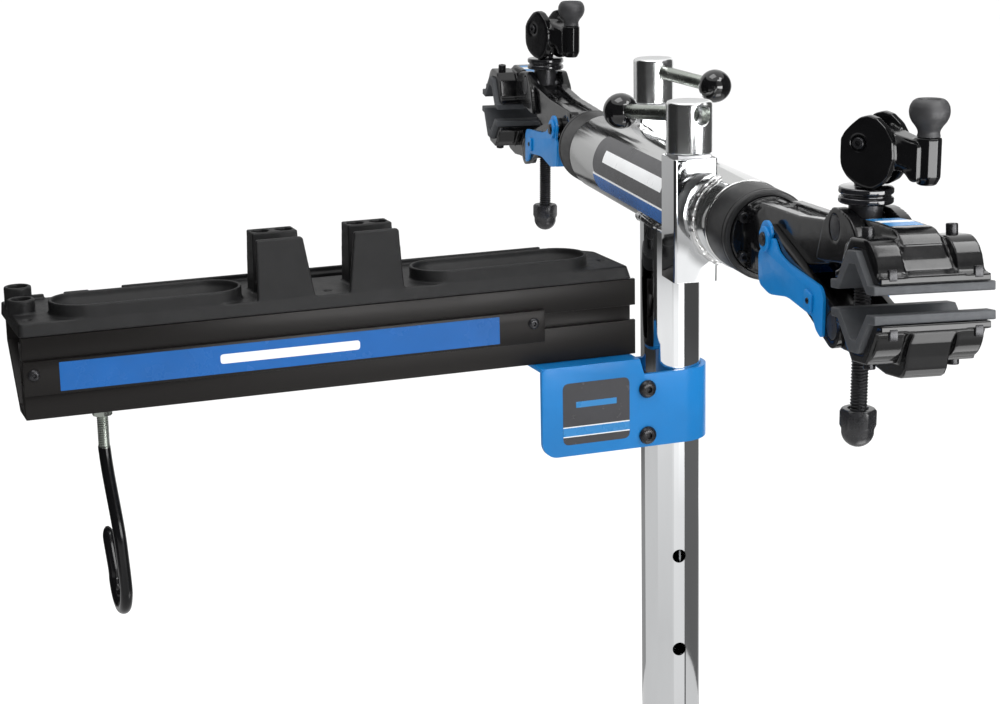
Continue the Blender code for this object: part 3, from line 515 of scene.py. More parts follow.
def cap_screw(radius, height, key):
    """Socket head standing on z 0."""
    head = lathe([(0.0, height)] + soft([(radius - 0.5, height), (radius, height - 0.6), (radius, 0.0)], 0.4, 3)
                 + [(0.0, 0.0)], 48)
    return combine(head, ("-", prism(arc(0, 0, key, 0, 300, 5), height * 0.4, height + 2)))


def weld_bead(path, size, seed, segments=12):
    """Closed bead with the ripple of a hand-made weld."""
    def radius(i):
        ripple = 0.07 * abs(math.sin(i * 0.8)) + 0.30 * noise.noise(Vector((i * 0.17, seed, 0.0)))
        return size * (0.92 + ripple)
    return bar_along(path, radius, segments, loop=True)


# ------------------------------------------------------------------ mast

CROSS_RADIUS = 41.275
OUTER_RADIUS = 34.95
INNER_RADIUS = 30.15
RIM_BELOW_AXIS = 590.3


def build_mast():
    floor = -AXIS_HEIGHT
    outline = rounded([(-450, -300), (450, -300), (450, 300), (-450, 300)], 60.0, 14)
    plate = eased(prism(outline, floor, floor + 12.7), 1.6, 3)
    piece(merged(plate, tube_ring(46.0, OUTER_RADIUS + 0.4, floor + 12.2, floor + 24.0, edge=1.5)),
          "base_plate_body", "dark_powder_coat", "base_plate")
    ring = [(47.5 * math.cos(a), 47.5 * math.sin(a), floor + 13.6)
            for a in [2 * math.pi * i / 240 for i in range(240)]]
    piece(weld_bead(ring, 3.2, 1.0), "base_weld", "dark_powder_coat", "base_plate", body="base")

    rim = -RIM_BELOW_AXIS
    piece(tube_ring(OUTER_RADIUS, 30.75, floor + 13.0, rim, edge=1.0), "lower_column_body", "dark_powder_coat",
          "lower_column")

    column = tube_ring(INNER_RADIUS, 26.9, floor + 70.0, -20.0, 128)
    saddle = moved(cylinder(CROSS_RADIUS + 0.25, -70, 70, 128), ALONG_X)
    cuts = [("-", saddle)]
    for i in range(4):
        cuts.append(("-", moved(cylinder(7.1, -50, 50, 48), shift(z=-380.4 - i * 101.6) @ ALONG_X)))
    piece(combine(column, *cuts), "upper_column_body", "chrome_plate", "upper_column")

    pin_z = -RIM_BELOW_AXIS + 6.65
    path = [(-48, 0, pin_z), (-46.8, 0, pin_z), (30, 0, pin_z), (51, 0, pin_z)]
    path += [(51 + 16 * math.sin(a), 0, pin_z - 16 + 16 * math.cos(a)) for a in
             [math.radians(7.5 * i) for i in range(1, 13)]]
    path += [(67, 0, pin_z - 43.6), (67, 0, pin_z - 45)]
    n = len(path)
    piece(bar_along(path, lambda i: 5.4 if i in (0, n - 1) else 6.35, 32), "height_pin_bar", "zinc_steel", "height_pin")

    tube = moved(tube_ring(CROSS_RADIUS, 36.8, -233.0, 233.0, 160, 1.2), ALONG_X)
    cuts = []
    for sign in (1, -1):
        ends = sorted((sign * -21.35, sign * -64.65))
        cuts.append(("-", box(sign * 178 - 16.65, sign * 178 + 16.65, ends[0], ends[1], -38, 38)))
    piece(combine(tube, *cuts), "cross_tube_body", "satin_chrome", "cross_tube", slot="chrome_plate")

    # bead where the column meets the cross tube
    path = []
    for i in range(200):
        a = 2 * math.pi * i / 200
        x = (INNER_RADIUS + 1.2) * math.cos(a)
        y = (INNER_RADIUS + 1.2) * math.sin(a)
        path.append((x, y, -math.sqrt((CROSS_RADIUS + 1.2) ** 2 - y * y)))
    piece(weld_bead(path, 3.8, 3.0), "column_weld", "weld_metal", "cross_tube", body="mast", slot="chrome_plate")
    for tag, quarter in (("near", 0), ("far", 180)):
        path = []
        r = CROSS_RADIUS + 0.6
        edge_z = math.sqrt(r * r - 17.35 ** 2)
        start = math.degrees(math.atan2(edge_z, -17.35))
        for x, order in ((199.6, 1), (156.4, -1)):
            arc_points = [(x, y, z) for y, z in arc(0, 0, r, start, 360 - start, 70)]
            path += arc_points[::order]
            z = path[-1][2]
            path += [(x + (178 - x) * k / 10 * 1.0, -16.4, z) for k in range(1, 20)]
        piece(weld_bead(path, 3.9, 5.0 + quarter, 18), "lock_weld_" + tag, "weld_metal", "cross_tube", turn("Z", quarter),
              body="mast", slot="chrome_plate")

    # printed panel on the side of the cross tube
    def shell(x_points, low, high, radius, thick):
        """Curved sheet: x_points(angle) gives the start and end along the tube."""
        bm = bmesh.new()
        rows = 40
        grid = []
        for level in (radius, radius + thick):
            layer = []
            for i in range(rows + 1):
                a = low + (high - low) * i / rows
                x0, x1 = x_points(i / rows)
                rad = math.radians(a)
                layer.append([bm.verts.new((x0 + (x1 - x0) * k / 6, level * math.cos(rad), level * math.sin(rad)))
                              for k in range(7)])
            grid.append(layer)
        inner, outer = grid
        for i in range(rows):
            for k in range(6):
                for layer in grid:
                    bm.faces.new((layer[i][k], layer[i][k + 1], layer[i + 1][k + 1], layer[i + 1][k]))
            for k in (0, 6):
                bm.faces.new((inner[i][k], inner[i + 1][k], outer[i + 1][k], outer[i][k]))
        for i in (0, rows):
            for k in range(6):
                bm.faces.new((inner[i][k], inner[i][k + 1], outer[i][k + 1], outer[i][k]))
        bmesh.ops.recalc_face_normals(bm, faces=bm.faces)
        return bm

    def bulge(t):
        return (-128 - 12 * math.sqrt(max(0.0, 1 - (2 * t - 1) ** 4)), 150.0)

    piece(shell(bulge, 127, 186, CROSS_RADIUS + 0.05, 0.15), "tube_panel_dark", "label_black", "cross_tube",
          body="mast", slot="chrome_plate")
    piece(shell(lambda t: (-139.5, 150.0), 186, 189, CROSS_RADIUS + 0.05, 0.15), "tube_panel_line", "label_white",
          "cross_tube", body="mast", slot="chrome_plate")
    piece(shell(lambda t: (-139.5 + 8 * t ** 3, 150.0), 189, 213, CROSS_RADIUS + 0.05, 0.15), "tube_panel_blue",
          "label_blue", "cross_tube", body="mast", slot="chrome_plate")
    piece(shell(lambda t: (-106.0, 96.0), 148, 166, CROSS_RADIUS + 0.2, 0.12), "tube_panel_bar", "label_white",
          "cross_tube", body="mast", slot="chrome_plate")


# ------------------------------------------------------------------ lock units

def build_lock(tag, quarter):
    place = turn("Z", quarter)
    at = shift(178.0, -38.0, 0)
    outer = prism(rounded([(-20.65, -20.65), (20.65, -20.65), (20.65, 20.65), (-20.65, 20.65)], 3.2, 6), -57, 57)
    inner = prism(rounded([(-16.65, -16.65), (16.65, -16.65), (16.65, 16.65), (-16.65, 16.65)], 1.2, 3), -90, 90)
    notch = moved(cylinder(CROSS_RADIUS + 0.25, -60, 60, 160), shift(178.0) @ ALONG_X)
    tube = eased(combine(outer, ("-", inner)), 0.7, 3, 60)
    piece(combine(moved(tube, at), ("-", notch)), "lock_tube_%s_body" % tag, "chrome_plate", "lock_tube_" + tag, place)

    aim = shift(178.0, -38.0, 95.0) @ turn("Z", 198.8) @ turn("Y", 94.0)
    profile = [(0.0, 108.0)] + soft([(12.0, 108.0), (21.3, 108.0), (21.3, 84.0)], 6.5, 10)[1:-1] \
        + soft([(21.3, 84.0), (21.3, 60.6), (12.0, 60.6)], 1.4, 5) \
        + [(4.9, 60.6), (4.9, -54.0), (4.0, -55.0), (0.0, -55.0)]
    hub = combine(moved(lathe(profile, 96), at), ("-", moved(cylinder(7.4, -40, 40, 64), aim)),
                  ("-", moved(lathe([(0, -5.3), (9.2, -5.3), (9.2, -19.5), (11.4, -21.5), (11.4, -40), (0, -40)], 64), aim)))
    piece(hub, "lock_spindle_%s_body" % tag, "soft_chrome", "lock_spindle_" + tag, place, slot="chrome_plate")
    piece(moved(cylinder(7.1, -5.0, 100.0, 64, 1.2), aim), "lock_bar_%s_rod" % tag, "zinc_steel", "lock_bar_" + tag,
          place)
    ball = [(0.0, 125.0)] + [(17.0 * math.sin(a), 108 + 17.0 * math.cos(a)) for a in
                             [math.pi * i / 40 for i in range(1, 37)]] + [(7.6, 92.2), (7.4, 92.6), (7.4, 100.3),
                                                                          (0.0, 100.3)]
    piece(moved(lathe(ball, 72), aim), "lock_ball_%s_knob" % tag, "black_ball_plastic", "lock_ball_" + tag, place)
    for half, low, high in (("upper", 14.0, 60.3), ("lower", -52.0, -14.0)):
        block = moved(eased(box(-16.35, 16.35, -16.35, 16.35, low, high), 1.0), at)
        block = combine(block, ("-", moved(cylinder(32.3, -60, 60, 96), shift(178.0) @ ALONG_X)),
                        ("-", moved(cylinder(5.2, -90, 90, 48), at)))
        piece(block, "binder_%s_%s_block" % (half, tag), "bare_steel", "binder_%s_%s" % (half, tag), place)


# ------------------------------------------------------------------ clamps

ROD_X = 500.0
P1 = (500.0, 0.0, 45.5)
P2 = (500.0, 0.0, -33.0)
P3 = (356.0, 0.0, 11.0)
CAM_Z = 113.0
JAW = shift(593.6, 0, 7.5) @ turn("Y", -7.0)


def flip(points):
    return [(p, -q) for p, q in points]


def pair(make, low, high):
    """Two mirrored parts, at y low..high and its mirror."""
    return make(low, high), make(-high, -low)


def build_jaw(upper, sign):
    """One jaw casting in the jaw frame: V plate, two end humps and a flared middle rib."""
    def face(points):
        return points if upper else flip(points)
    back = [(-44, 14.6), (-29.8, 14.6), (-8, 38.4), (8, 38.4), (29.8, 14.6), (44, 14.6),
            (44, 20), (34, 22), (14, 46), (-14, 46), (-34, 22), (-44, 20)]
    crown = 47.0 if upper else 44.5
    swell = arc(9, crown - 26, 26, 90, 8, 14)
    hump = [(-38, 18), (-26, crown - 6.5), (-12, crown)] + swell + [(37, 20.5), (43.5, 20.5), (43.5, 17), (30, 21),
                                                                    (12, 42), (-12, 42), (-30, 21)]
    steps = []
    for lo, hi in ((-42, -20.5), (20.5, 42)):
        steps.append(("+", prism(face(hump), lo, hi, "XZ")))
    if upper:
        spine = [(-66.5, 30), (-66.5, 57), (-30, 56), (-4, 53.6)] + arc(-3, 26.6, 27, 84, 20, 10) \
            + [(25, 30), (30, 24), (44, 20.5), (44, 18), (30, 22), (12, 43), (-12, 43), (-30, 24), (-44, 19)]
    else:
        spine = flip([(-72, -17), (-46, -20), (-30, -24), (-12, -43), (12, -43), (30, -22), (44, -20), (34, -30), (29, -40), (25, -50),
                      (21, -55), (15, -57.5), (-12, -57.5), (-38, -52.5), (-72, -47)])
    steps.append(("+", prism(face(spine), -17, 17, "XZ")))
    # flared skirt where the rib runs out over the V plate: (along, height, half width, foot height)
    skirt = ((21, 42, 16.2, 27), (25.5, 33, 17.0, 21.5), (30, 25.5, 19.2, 16.5), (36, 21.8, 21.8, 16.0),
             (44, 20.8, 23.0, 16.0))
    for first, second in zip(skirt, skirt[1:]):
        wedge = []
        for p, q, half, foot in (first, second):
            for y in (-half, half):
                wedge += [(p, y, q if upper else -q), (p, y, foot if upper else -foot)]
        steps.append(("+", hull(wedge)))
    if upper:
        for lo, hi in ((13.7, 60.0), (-60.0, -13.7)):
            steps.append(("-", moved(box(500, 547.3, lo, hi, 0, 80), JAW.inverted())))
    else:
        for lo, hi in ((13.2, 19.65), (-19.65, -13.2)):
            steps.append(("+", prism(lobe_hull((-97.3, -29.4), 16.5, (-72, -32), 16.0), lo, hi, "XZ")))
        hole = JAW.inverted() @ shift(*P2) @ ALONG_Y
        steps.append(("-", moved(cylinder(11.2, -60, 60, 64), hole)))
    return cast(combine(prism(face(back), -43, 43, "XZ"), *steps), 0.95, 4)


def build_clamp(tag, quarter, lever_azimuth):
    place = turn("X", -1.0) @ turn("Z", quarter)
    side = 1 if tag == "near" else -1

    def add(bm, stem, look, node, **options):
        return piece(bm, stem % tag, look, node % tag, place, **options)

    # sleeve and shaft
    outside = soft([(0.0, 277.5), (35.1, 277.5), (35.1, 285.0), (39.4, 285.0), (40.4, 284.0), (40.4, 279.0),
                    (39.9, 278.4), (39.9, 276.6), (40.4, 276.0), (40.4, 240.0), (40.0, 236.0), (40.4, 233.5),
                    (36.4, 233.5), (36.4, 206.0), (32.0, 206.0), (32.0, 122.0), (36.4, 122.0), (36.4, 95.0),
                    (24.0, 95.0), (24.0, 262.0), (0.0, 262.0)], 0.8, 3)
    add(moved(lathe(outside + [outside[0]] if outside[-1][0] > 1e-6 else outside, 128), ALONG_X),
        "clamp_shaft_%s_sleeve", "black_sleeve", "clamp_shaft_%s")

    # arm casting
    neck_points = []
    for a in range(0, 360, 15):
        c = math.cos(math.radians(a))
        s = math.sin(math.radians(a))
        neck_points.append((284.0, 23 * c, 8 + 21 * s))
    for y in (-19.6, 19.6):
        for z in (-9.0, 34.0):
            neck_points.append((328.0, y, z))
        neck_points.append((336.0, y, 12.0))
    steps = [("+", hull(neck_points))]
    for lo, hi in ((17.0, 21.5), (-21.5, -17.0)):
        steps.append(("+", box(284.5, 300.0, lo, hi, -27.0, 27.0)))
    web = prism([(300, 14), (300, 31), (406, 34), (474, 41), (476, 30), (446, 22), (386, 14)], -12, 12, "XZ")
    steps.append(("+", web))
    side_plate = rounded([(312, -5), (336, -7), (372, -8), (414, -1), (458, 8), (490, 15), (506, 28), (518, 32),
                          (518, 58), (506, 60), (476, 47), (406, 39), (312, 35)], 4, 5)
    cheek = rounded([(462, 14), (478, 15), (528, 22), (547, 27), (547, 41), (540, 50), (530, 57),
                     (518, 60), (506, 61.4), (494, 61.4), (474, 46)], 5, 5)
    for s in (-1, 1):
        lo, hi = sorted((s * 9.0, s * 19.6))
        steps.append(("+", prism(side_plate, lo, hi, "XZ")))
        lo, hi = sorted((s * 14.0, s * 25.3))
        steps.append(("+", prism(cheek, lo, hi, "XZ")))
    steps.append(("-", box(480, 524, -14.2, 14.2, 10, 90)))
    steps.append(("-", moved(cylinder(10.1, -60, 60, 64), shift(*P1) @ ALONG_Y)))
    steps.append(("-", moved(cylinder(6.4, -60, 60, 48), shift(*P3) @ ALONG_Y)))
    flange = moved(cylinder(34.7, 277.9, 286.5, 96), ALONG_X)
    add(cast(combine(flange, *steps), 1.0, 4), "clamp_arm_%s_casting", "gloss_black_casting", "clamp_arm_%s", sharp=70)
    screws = []
    for y, z in ((-24.2, 17.6), (24.2, 17.6), (-24.2, -17.6), (24.2, -17.6)):
        screws.append(moved(cap_screw(4.8, 5.6, 2.5), shift(286.3, y, z) @ ALONG_X))
    add(merged(*screws), "flange_screws_%s", "black_oxide_bolt", "clamp_arm_%s", body="turret_" + tag)

    # pivots
    pin = lathe([(0.0, 33.2)] + soft([(4.8, 33.2), (6.0, 32.2), (6.0, -32.2), (4.8, -33.2)], 0.5, 3) + [(0.0, -33.2)], 48)
    add(moved(pin, shift(*P3) @ ALONG_Y), "link_pin_%s_bar", "black_oxide_bolt", "link_pin_%s")
    trunnion = moved(cylinder(9.7, -25.3, 25.3, 64, 0.8), shift(*P1) @ ALONG_Y)
    post = moved(cylinder(13.4, 45.5, 63.8, 64), shift(ROD_X))
    bore = moved(cylinder(7.3, 0, 90, 48), shift(ROD_X))
    add(combine(trunnion, ("+", post), ("-", bore)), "upper_trunnion_%s_body", "blackened_steel", "upper_trunnion_%s")
    nut = moved(cylinder(10.9, -25.3, 25.3, 64, 0.8), shift(*P2) @ ALONG_Y)
    bore = moved(cylinder(7.9, -80, 20, 48), shift(ROD_X))
    add(combine(nut, ("-", bore)), "lower_nut_%s_body", "blackened_steel", "lower_nut_%s")

    # black link bars and their bridge
    outline = lobe_hull((P3[0], P3[2]), 12.5, (P2[0], P2[2]), 17.5)
    bridge = prism([(404, -17), (404, -10), (458, -26), (458, -33)], -22, 22, "XZ")
    link = combine(prism(outline, 19.95, 25.3, "XZ"), ("+", bridge), ("+", prism(outline, -25.3, -19.95, "XZ")),
                   ("-", moved(cylinder(6.3, -60, 60, 48), shift(*P3) @ ALONG_Y)),
                   ("-", moved(cylinder(11.2, -60, 60, 64), shift(*P2) @ ALONG_Y)))
    add(eased(link, 0.9, 3), "link_%s_bars", "gloss_black_casting", "link_%s")

    # blue cover
    eye = arc(P3[0] - 1, P3[2] + 1, 14.5, 20, 190, 24)
    plate = eye + rounded([(337, -3), (340, -30), (367, -34.5), (409, -28), (467, -32.5), (473, -41), (488, -47),
                           (488, -12), (481, -5), (406, 0), (384, 5), (373, 16)], 8, 7)
    web = prism([(344, -31), (402, -27.6), (402, -25.2), (346, -28.4), (346, -12), (343.4, -12)], -27, 27, "XZ")
    steps = [("+", prism(plate, -28.1, -25.6, "XZ")), ("+", web)]
    cover = eased(combine(prism(plate, 25.6, 28.1, "XZ"), *steps), 0.8, 3)
    steps = []
    for s in (-1, 1):
        lo, hi = sorted((s * 27.5, s * 31.0))
        boss = eased(moved(cylinder(11.0, lo, hi, 64), shift(*P3) @ ALONG_Y), 0.8, 3)
        steps.append(("+", boss))
        lo, hi = sorted((s * 27.5, s * 30.4))
        square = eased(prism(rounded([(451, -28), (467, -30), (468, -14), (452, -12)], 3, 4), lo, hi, "XZ"), 0.7, 3)
        steps.append(("+", square))
    steps.append(("-", moved(cylinder(6.3, -60, 60, 48), shift(*P3) @ ALONG_Y)))
    add(combine(cover, *steps), "link_cover_%s_shell", "blue_powder_coat", "link_cover_%s")
    pins = []
    for s in (-1, 1):
        aim = shift(460, s * 30.1, -20.5) @ turn("X", -90 * s)
        pins.append(moved(cap_screw(2.6, 1.3, 1.3), aim))
    add(merged(*pins), "cover_rivets_%s", "black_oxide_bolt", "link_cover_%s", body="lower_arm_" + tag)

    # jaws, pads, jaw screws and clips
    for upper, half in ((True, "upper"), (False, "lower")):
        body = ("turret_" if upper else "lower_arm_") + tag
        jaw = piece(build_jaw(upper, side), "%s_jaw_%s_casting" % (half, tag), "gloss_black_casting",
                    "%s_jaw_%s" % (half, tag), place @ JAW, sharp=70)
        v = 1 if upper else -1
        section = [(-42, 7.3), (-27, 7.3), (-6, 28), (6, 28), (27, 7.3), (42, 7.3), (42, 14.3), (30, 14.3), (8, 38),
                   (-8, 38), (-30, 14.3), (-42, 14.3)]
        pad = eased(prism([(p, v * q) for p, q in section], -47.7, 47.7, "XZ"), 1.0, 3)
        piece(pad, "%s_pad_%s_rubber" % (half, tag), "grey_black_rubber", "%s_pad_%s" % (half, tag), place @ JAW)
        small = []
        for y in (-33.5, 33.5):
            tip = 47.0 if upper else -45.5
            aim = shift(-2, y, tip) @ (Matrix.Identity(4) if upper else turn("X", 180))
            small.append(moved(cap_screw(4.6, 7.6 if upper else 6.0, 2.3), aim))
            clip = eased(box(40.5, 44.6, y - 3.2, y + 3.2, min(v * 17.5, v * 26), max(v * 17.5, v * 26)), 0.7, 2)
            small.append(clip)
        piece(merged(*small), "%s_jaw_screws_%s" % (half, tag), "black_oxide_bolt", "%s_jaw_%s" % (half, tag),
              place @ JAW, body=body)
    stripes = (("blue", -54.0, -36.0, "label_bright_blue"), ("white", -36.0, -24.0, "label_white"),
               ("end", -24.0, -8.0, "label_bright_blue"))
    for stem, p0, p1, look in stripes:
        def top(p):
            return 55.95 - (p + 30) * (0.027 if p < -30 else 0.092)
        steps = [p0 + (p1 - p0) * k / 4 for k in range(5)]
        strip = [(p, top(p)) for p in steps] + [(p, top(p) + 0.25) for p in reversed(steps)]
        piece(prism(strip, -13.5, 13.5, "XZ"), "jaw_label_%s_%s" % (stem, tag), look, "upper_jaw_" + tag, place @ JAW,
              body="turret_" + tag, slot="blue_powder_coat")

    # collar, rod, acorn nut
    c = [(7.3, 82.0), (9.6, 82.0), (9.6, 77.6), (20.6, 77.4), (21.6, 76.4), (21.6, 73.2), (20.9, 72.2), (19.6, 71.6),
         (19.6, 70.2), (20.9, 69.6), (21.6, 68.6), (21.6, 65.6), (20.6, 64.6), (7.3, 64.6)]
    c = soft(c, 0.5, 3)
    add(moved(lathe(c + [c[0]], 96), shift(ROD_X)), "thrust_collar_%s_ring", "black_collar", "thrust_collar_%s")
    spin = shift(ROD_X) @ turn("Z", lever_azimuth)
    thread = threaded(7.0, 0.95, 2.6, -118.0, 62.0)
    eye = moved(cylinder(10.5, -10.0, 10.0, 64, 0.8), shift(0, 0, CAM_Z) @ ALONG_Y)
    shank = combine(cylinder(7.0, 61.0, 107.0, 64), ("+", eye),
                    ("-", moved(cylinder(4.6, -60, 60, 48), shift(0, 0, CAM_Z) @ ALONG_Y)))
    add(merged(moved(thread, shift(ROD_X)), moved(shank, spin)), "clamp_rod_%s_screw", "black_threaded_steel",
        "clamp_rod_%s")
    dome = [(0.0, -132.6)] + [(13.2 * math.sin(a), -119.5 - 13.1 * math.cos(a)) for a in
                              [math.radians(9 * i) for i in range(1, 10)]]
    profile = dome + soft([(13.2, -117.5), (14.7, -114.5), (14.7, -103.0), (13.0, -101.0), (8.8, -101.0)], 0.5, 3)
    profile += [(7.3, -102.2), (7.3, -118.4), (0.0, -118.4)]
    acorn = combine(lathe(profile, 96), ("&", prism(arc(0, 0, 14.75, 0, 300, 5), -140, -90)))
    acorn = eased(acorn, 0.35, 2, 40)
    add(moved(acorn, shift(ROD_X) @ turn("Z", 10)), "acorn_nut_%s_body", "black_nut", "acorn_nut_%s",
        slot="gloss_black_casting")

    # cam lever
    slope = 20.0 / math.radians(90.0)
    cam = []
    for i in range(19):
        a = math.radians(-90.0 - 90.0 * i / 18)
        h = 35.0 - 20.0 * i / 18
        cam.append((h * math.cos(a) - slope * math.sin(a), h * math.sin(a) + slope * math.cos(a)))
    outline = cam + [(-15, 3), (-12, 8.5), (-7, 14), (0, 20), (7, 22), (14, 20), (22, 13), (28, 3), (29, -10), (25, -24),
                     (20, -31)]
    bridge = rounded([(13, 14), (24, 8), (38, 3), (46, 2), (46, -28), (40, -28), (34, -20), (26, -16), (14, -10)], 4, 5)
    reach = 49.0
    block = [(x + reach, y) for x, y in arc(0, 0, 10.6, 22.5, 337.5, 7)]
    low = [(x + reach, y) for x, y in arc(0, 0, 7.5, 22.5, 337.5, 7)]
    end = hull([(x, y, 6.0) for x, y in block] + [(x, y, -25.0) for x, y in block] + [(x, y, -31.0) for x, y in low])
    shoulder = hull([(46, y, z) for y, z in ((-12.5, -4), (12.5, -4), (-12.5, -19), (12.5, -19), (-8, 2), (8, 2),
                                             (-8, -24), (8, -24))]
                    + [(16.5, y, z) for y, z in ((-19.2, 5), (19.2, 5), (-19.2, -10), (19.2, -10), (-14, 11), (14, 11),
                                                 (-14, -17), (14, -17))])
    steps = [("+", prism(outline, -20.0, -10.4, "XZ")), ("+", prism(bridge, -13.0, 13.0, "XZ")), ("+", end),
             ("+", shoulder), ("+", moved(cylinder(4.2, -18, 18, 48), ALONG_Y))]
    lever = combine(prism(outline, 10.4, 20.0, "XZ"), *steps)
    dimples = [("-", moved(cylinder(6.4, 17.6, 30, 48), ALONG_Y)), ("-", moved(cylinder(6.4, -30, -17.6, 48), ALONG_Y))]
    lever = cast(combine(lever, *dimples), 0.75, 32)
    lever_place = spin @ shift(0, 0, CAM_Z)
    add(moved(lever, lever_place), "cam_lever_%s_casting", "gloss_black_casting", "cam_lever_%s", sharp=70)
    ends = [moved(cap_screw(4.6, 3.4, 2.3), turn("X", -90 * s) @ shift(z=17.6)) for s in (-1, 1)]
    add(moved(merged(*ends), lever_place), "cam_screws_%s", "black_oxide_bolt", "cam_lever_%s", body="lever_" + tag)
    knob = [(0.0, 32.6), (7.4, 32.6), (8.6, 34.4), (10.4, 35.3), (13.2, 33.4), (15.2, 29.8), (15.8, 25.5), (15.2, 21.6),
            (13.4, 17.8), (10.6, 14.4), (8.9, 11.6), (8.4, 9.4), (8.9, 7.4), (9.1, 6.3), (0.0, 6.3)]
    add(moved(lathe(soft(knob, 1.4, 5), 72), lever_place @ shift(reach)), "lever_knob_%s_grip", "soft_black_knob",
        "lever_knob_%s")


# ------------------------------------------------------------------ tool tray

def build_tray():
    place = turn("Z", 7.4)
    f = 14.0
    y1 = -44.8
    y0 = y1 - 607.0
    top = -88.3
    bottom = -165.2

    def add(bm, stem, look, node, **options):
        return piece(bm, stem, look, node, place, **options)

    section = [(f, top), (f, -115), (f - 4, -115), (f - 4, -111), (f - 13, -111), (f - 13, -134), (f - 4, -134),
               (f - 4, -130), (f, -130), (f, bottom), (f - 36, bottom), (f - 92, -109), (f - 92, top),
               (f - 87, top), (f - 87, -107), (f - 38, -158), (f - 18, -158), (f - 18, -95), (f - 5, -95),
               (f - 5, top)]
    rail = eased(prism(section, y0, y1, "XZ"), 0.6, 2)
    cuts = [("-", moved(cylinder(6.0, -180, -150, 48), shift(-10.0, -578.5)))]
    for y in (y0 + 9.0, y1 - 111.0):
        cuts.append(("-", moved(cylinder(2.9, -20, 20, 32), shift(f - 13, y, -122.5) @ ALONG_X)))
    add(combine(rail, *cuts), "tool_rail_extrusion", "black_anodised_rail", "tool_rail")

    # moulded tray
    deck = -75.0
    z0 = top + 0.3
    front = f + 1.0
    rear = f - 112.0
    left_end = y0 - 1.5
    low = rounded([(front, left_end), (front, y1 - 4), (front - 88, y1 - 4), (rear, y1 - 26), (rear, left_end)], 4, 5)
    high = rounded([(front - 1.5, left_end + 0.5), (front - 1.5, y1 - 8), (front - 86, y1 - 8), (rear + 3, y1 - 28),
                    (rear + 3, left_end + 0.5)], 4, 5)
    tray = hull([(x, y, z0) for x, y in low] + [(x, y, deck) for x, y in high])
    steps = []
    for lo, hi in ((y0 + 32.0, y0 + 213.0), (y1 - 224.0, y1 - 41.0)):
        cx = front - 33.5

        def stadium(radius, ends=(hi - 32, lo + 32)):
            return arc(cx, ends[0], radius, 0, 180, 32) + arc(cx, ends[1], radius, 180, 360, 32)
        steps.append(("+", prism(stadium(32), deck - 4, deck + 12.5)))
        steps.append(("-", hull([(x, y, deck + 14) for x, y in stadium(29.4)] + [(x, y, deck + 7) for x, y in stadium(28)]
                                + [(x, y, deck - 5.5) for x, y in stadium(18)])))
    # two tool holders: a tapered front plate, a low step behind it and a drilled block
    for left, feet, tops in ((y1 - 381.0, (-4.5, 52.0), (-4.0, 41.5)), (y1 - 286.5, (-9.5, 45.5), (-3.0, 41.5))):
        plate = [(left + feet[0], deck - 3), (left + feet[1], deck - 3), (left + tops[1], -19),
                 (left + tops[1] - 2, -17), (left + tops[0] + 1, -17), (left + tops[0], -18)]
        steps.append(("+", prism(plate, front - 6, front - 1.5, "YZ")))
        steps.append(("+", box(front - 40, front - 4, left + 3, left + 40, deck - 3, -64)))
        low_block = [(x, y, deck - 3) for x in (front - 64, front - 37) for y in (left + 1, left + 50)]
        top_block = [(x, y, -17) for x in (front - 62, front - 38) for y in (left + 2, left + 46)]
        steps.append(("+", hull(low_block + top_block)))
        # slim rib that ties the plate to the block
        steps.append(("+", box(front - 40, front - 4, left + 20, left + 24, deck - 3, -34)))
        for y in (left + 12.5, left + 35.5):
            steps.append(("-", moved(cylinder(8.4, -70, 10, 48), shift(front - 50, y))))
            steps.append(("-", box(front - 58.4, front - 41.6, y - 5, y + 5, -70, 10)))
    for dx, dy, rise in ((50.0, 9.5, -61.5), (88.0, 12.5, -57.0)):
        steps.append(("+", moved(lathe([(0, rise), (11.6, rise), (12.8, rise - 1), (12.8, deck - 3), (0, deck - 3)], 48),
                                 shift(front - dx, y0 + dy))))
        steps.append(("-", moved(cylinder(9.0, deck + 2, -40, 48), shift(front - dx, y0 + dy))))
    for a, b in ((y0 + 26.5, y0 + 39.5), (y0 + 58.5, y0 + 82.5)):
        steps.append(("+", box(rear + 3.5, rear + 8, a, b, deck - 3, deck + 4.2)))
    steps.append(("+", box(rear + 3.5, rear + 7, y0 + 114, y1 - 60, deck - 3, deck + 5.6)))
    steps.append(("-", box(front - 103, front - 86, y1 - 345, y1 - 268, deck - 7, deck + 20)))
    for x, y in ((front - 18, y0 + 9), (front - 40, y1 - 20), (front - 21, y1 - 312), (front - 84, y1 - 250)):
        steps.append(("-", moved(lathe([(0, 8), (4.4, 8), (4.4, -1.0), (0.9, -2.6), (0, -2.6)], 32), shift(x, y, deck))))
    add(cast(combine(tray, *steps), 1.05, 2), "tool_tray_moulding", "black_tray_plastic", "tool_tray", sharp=60)

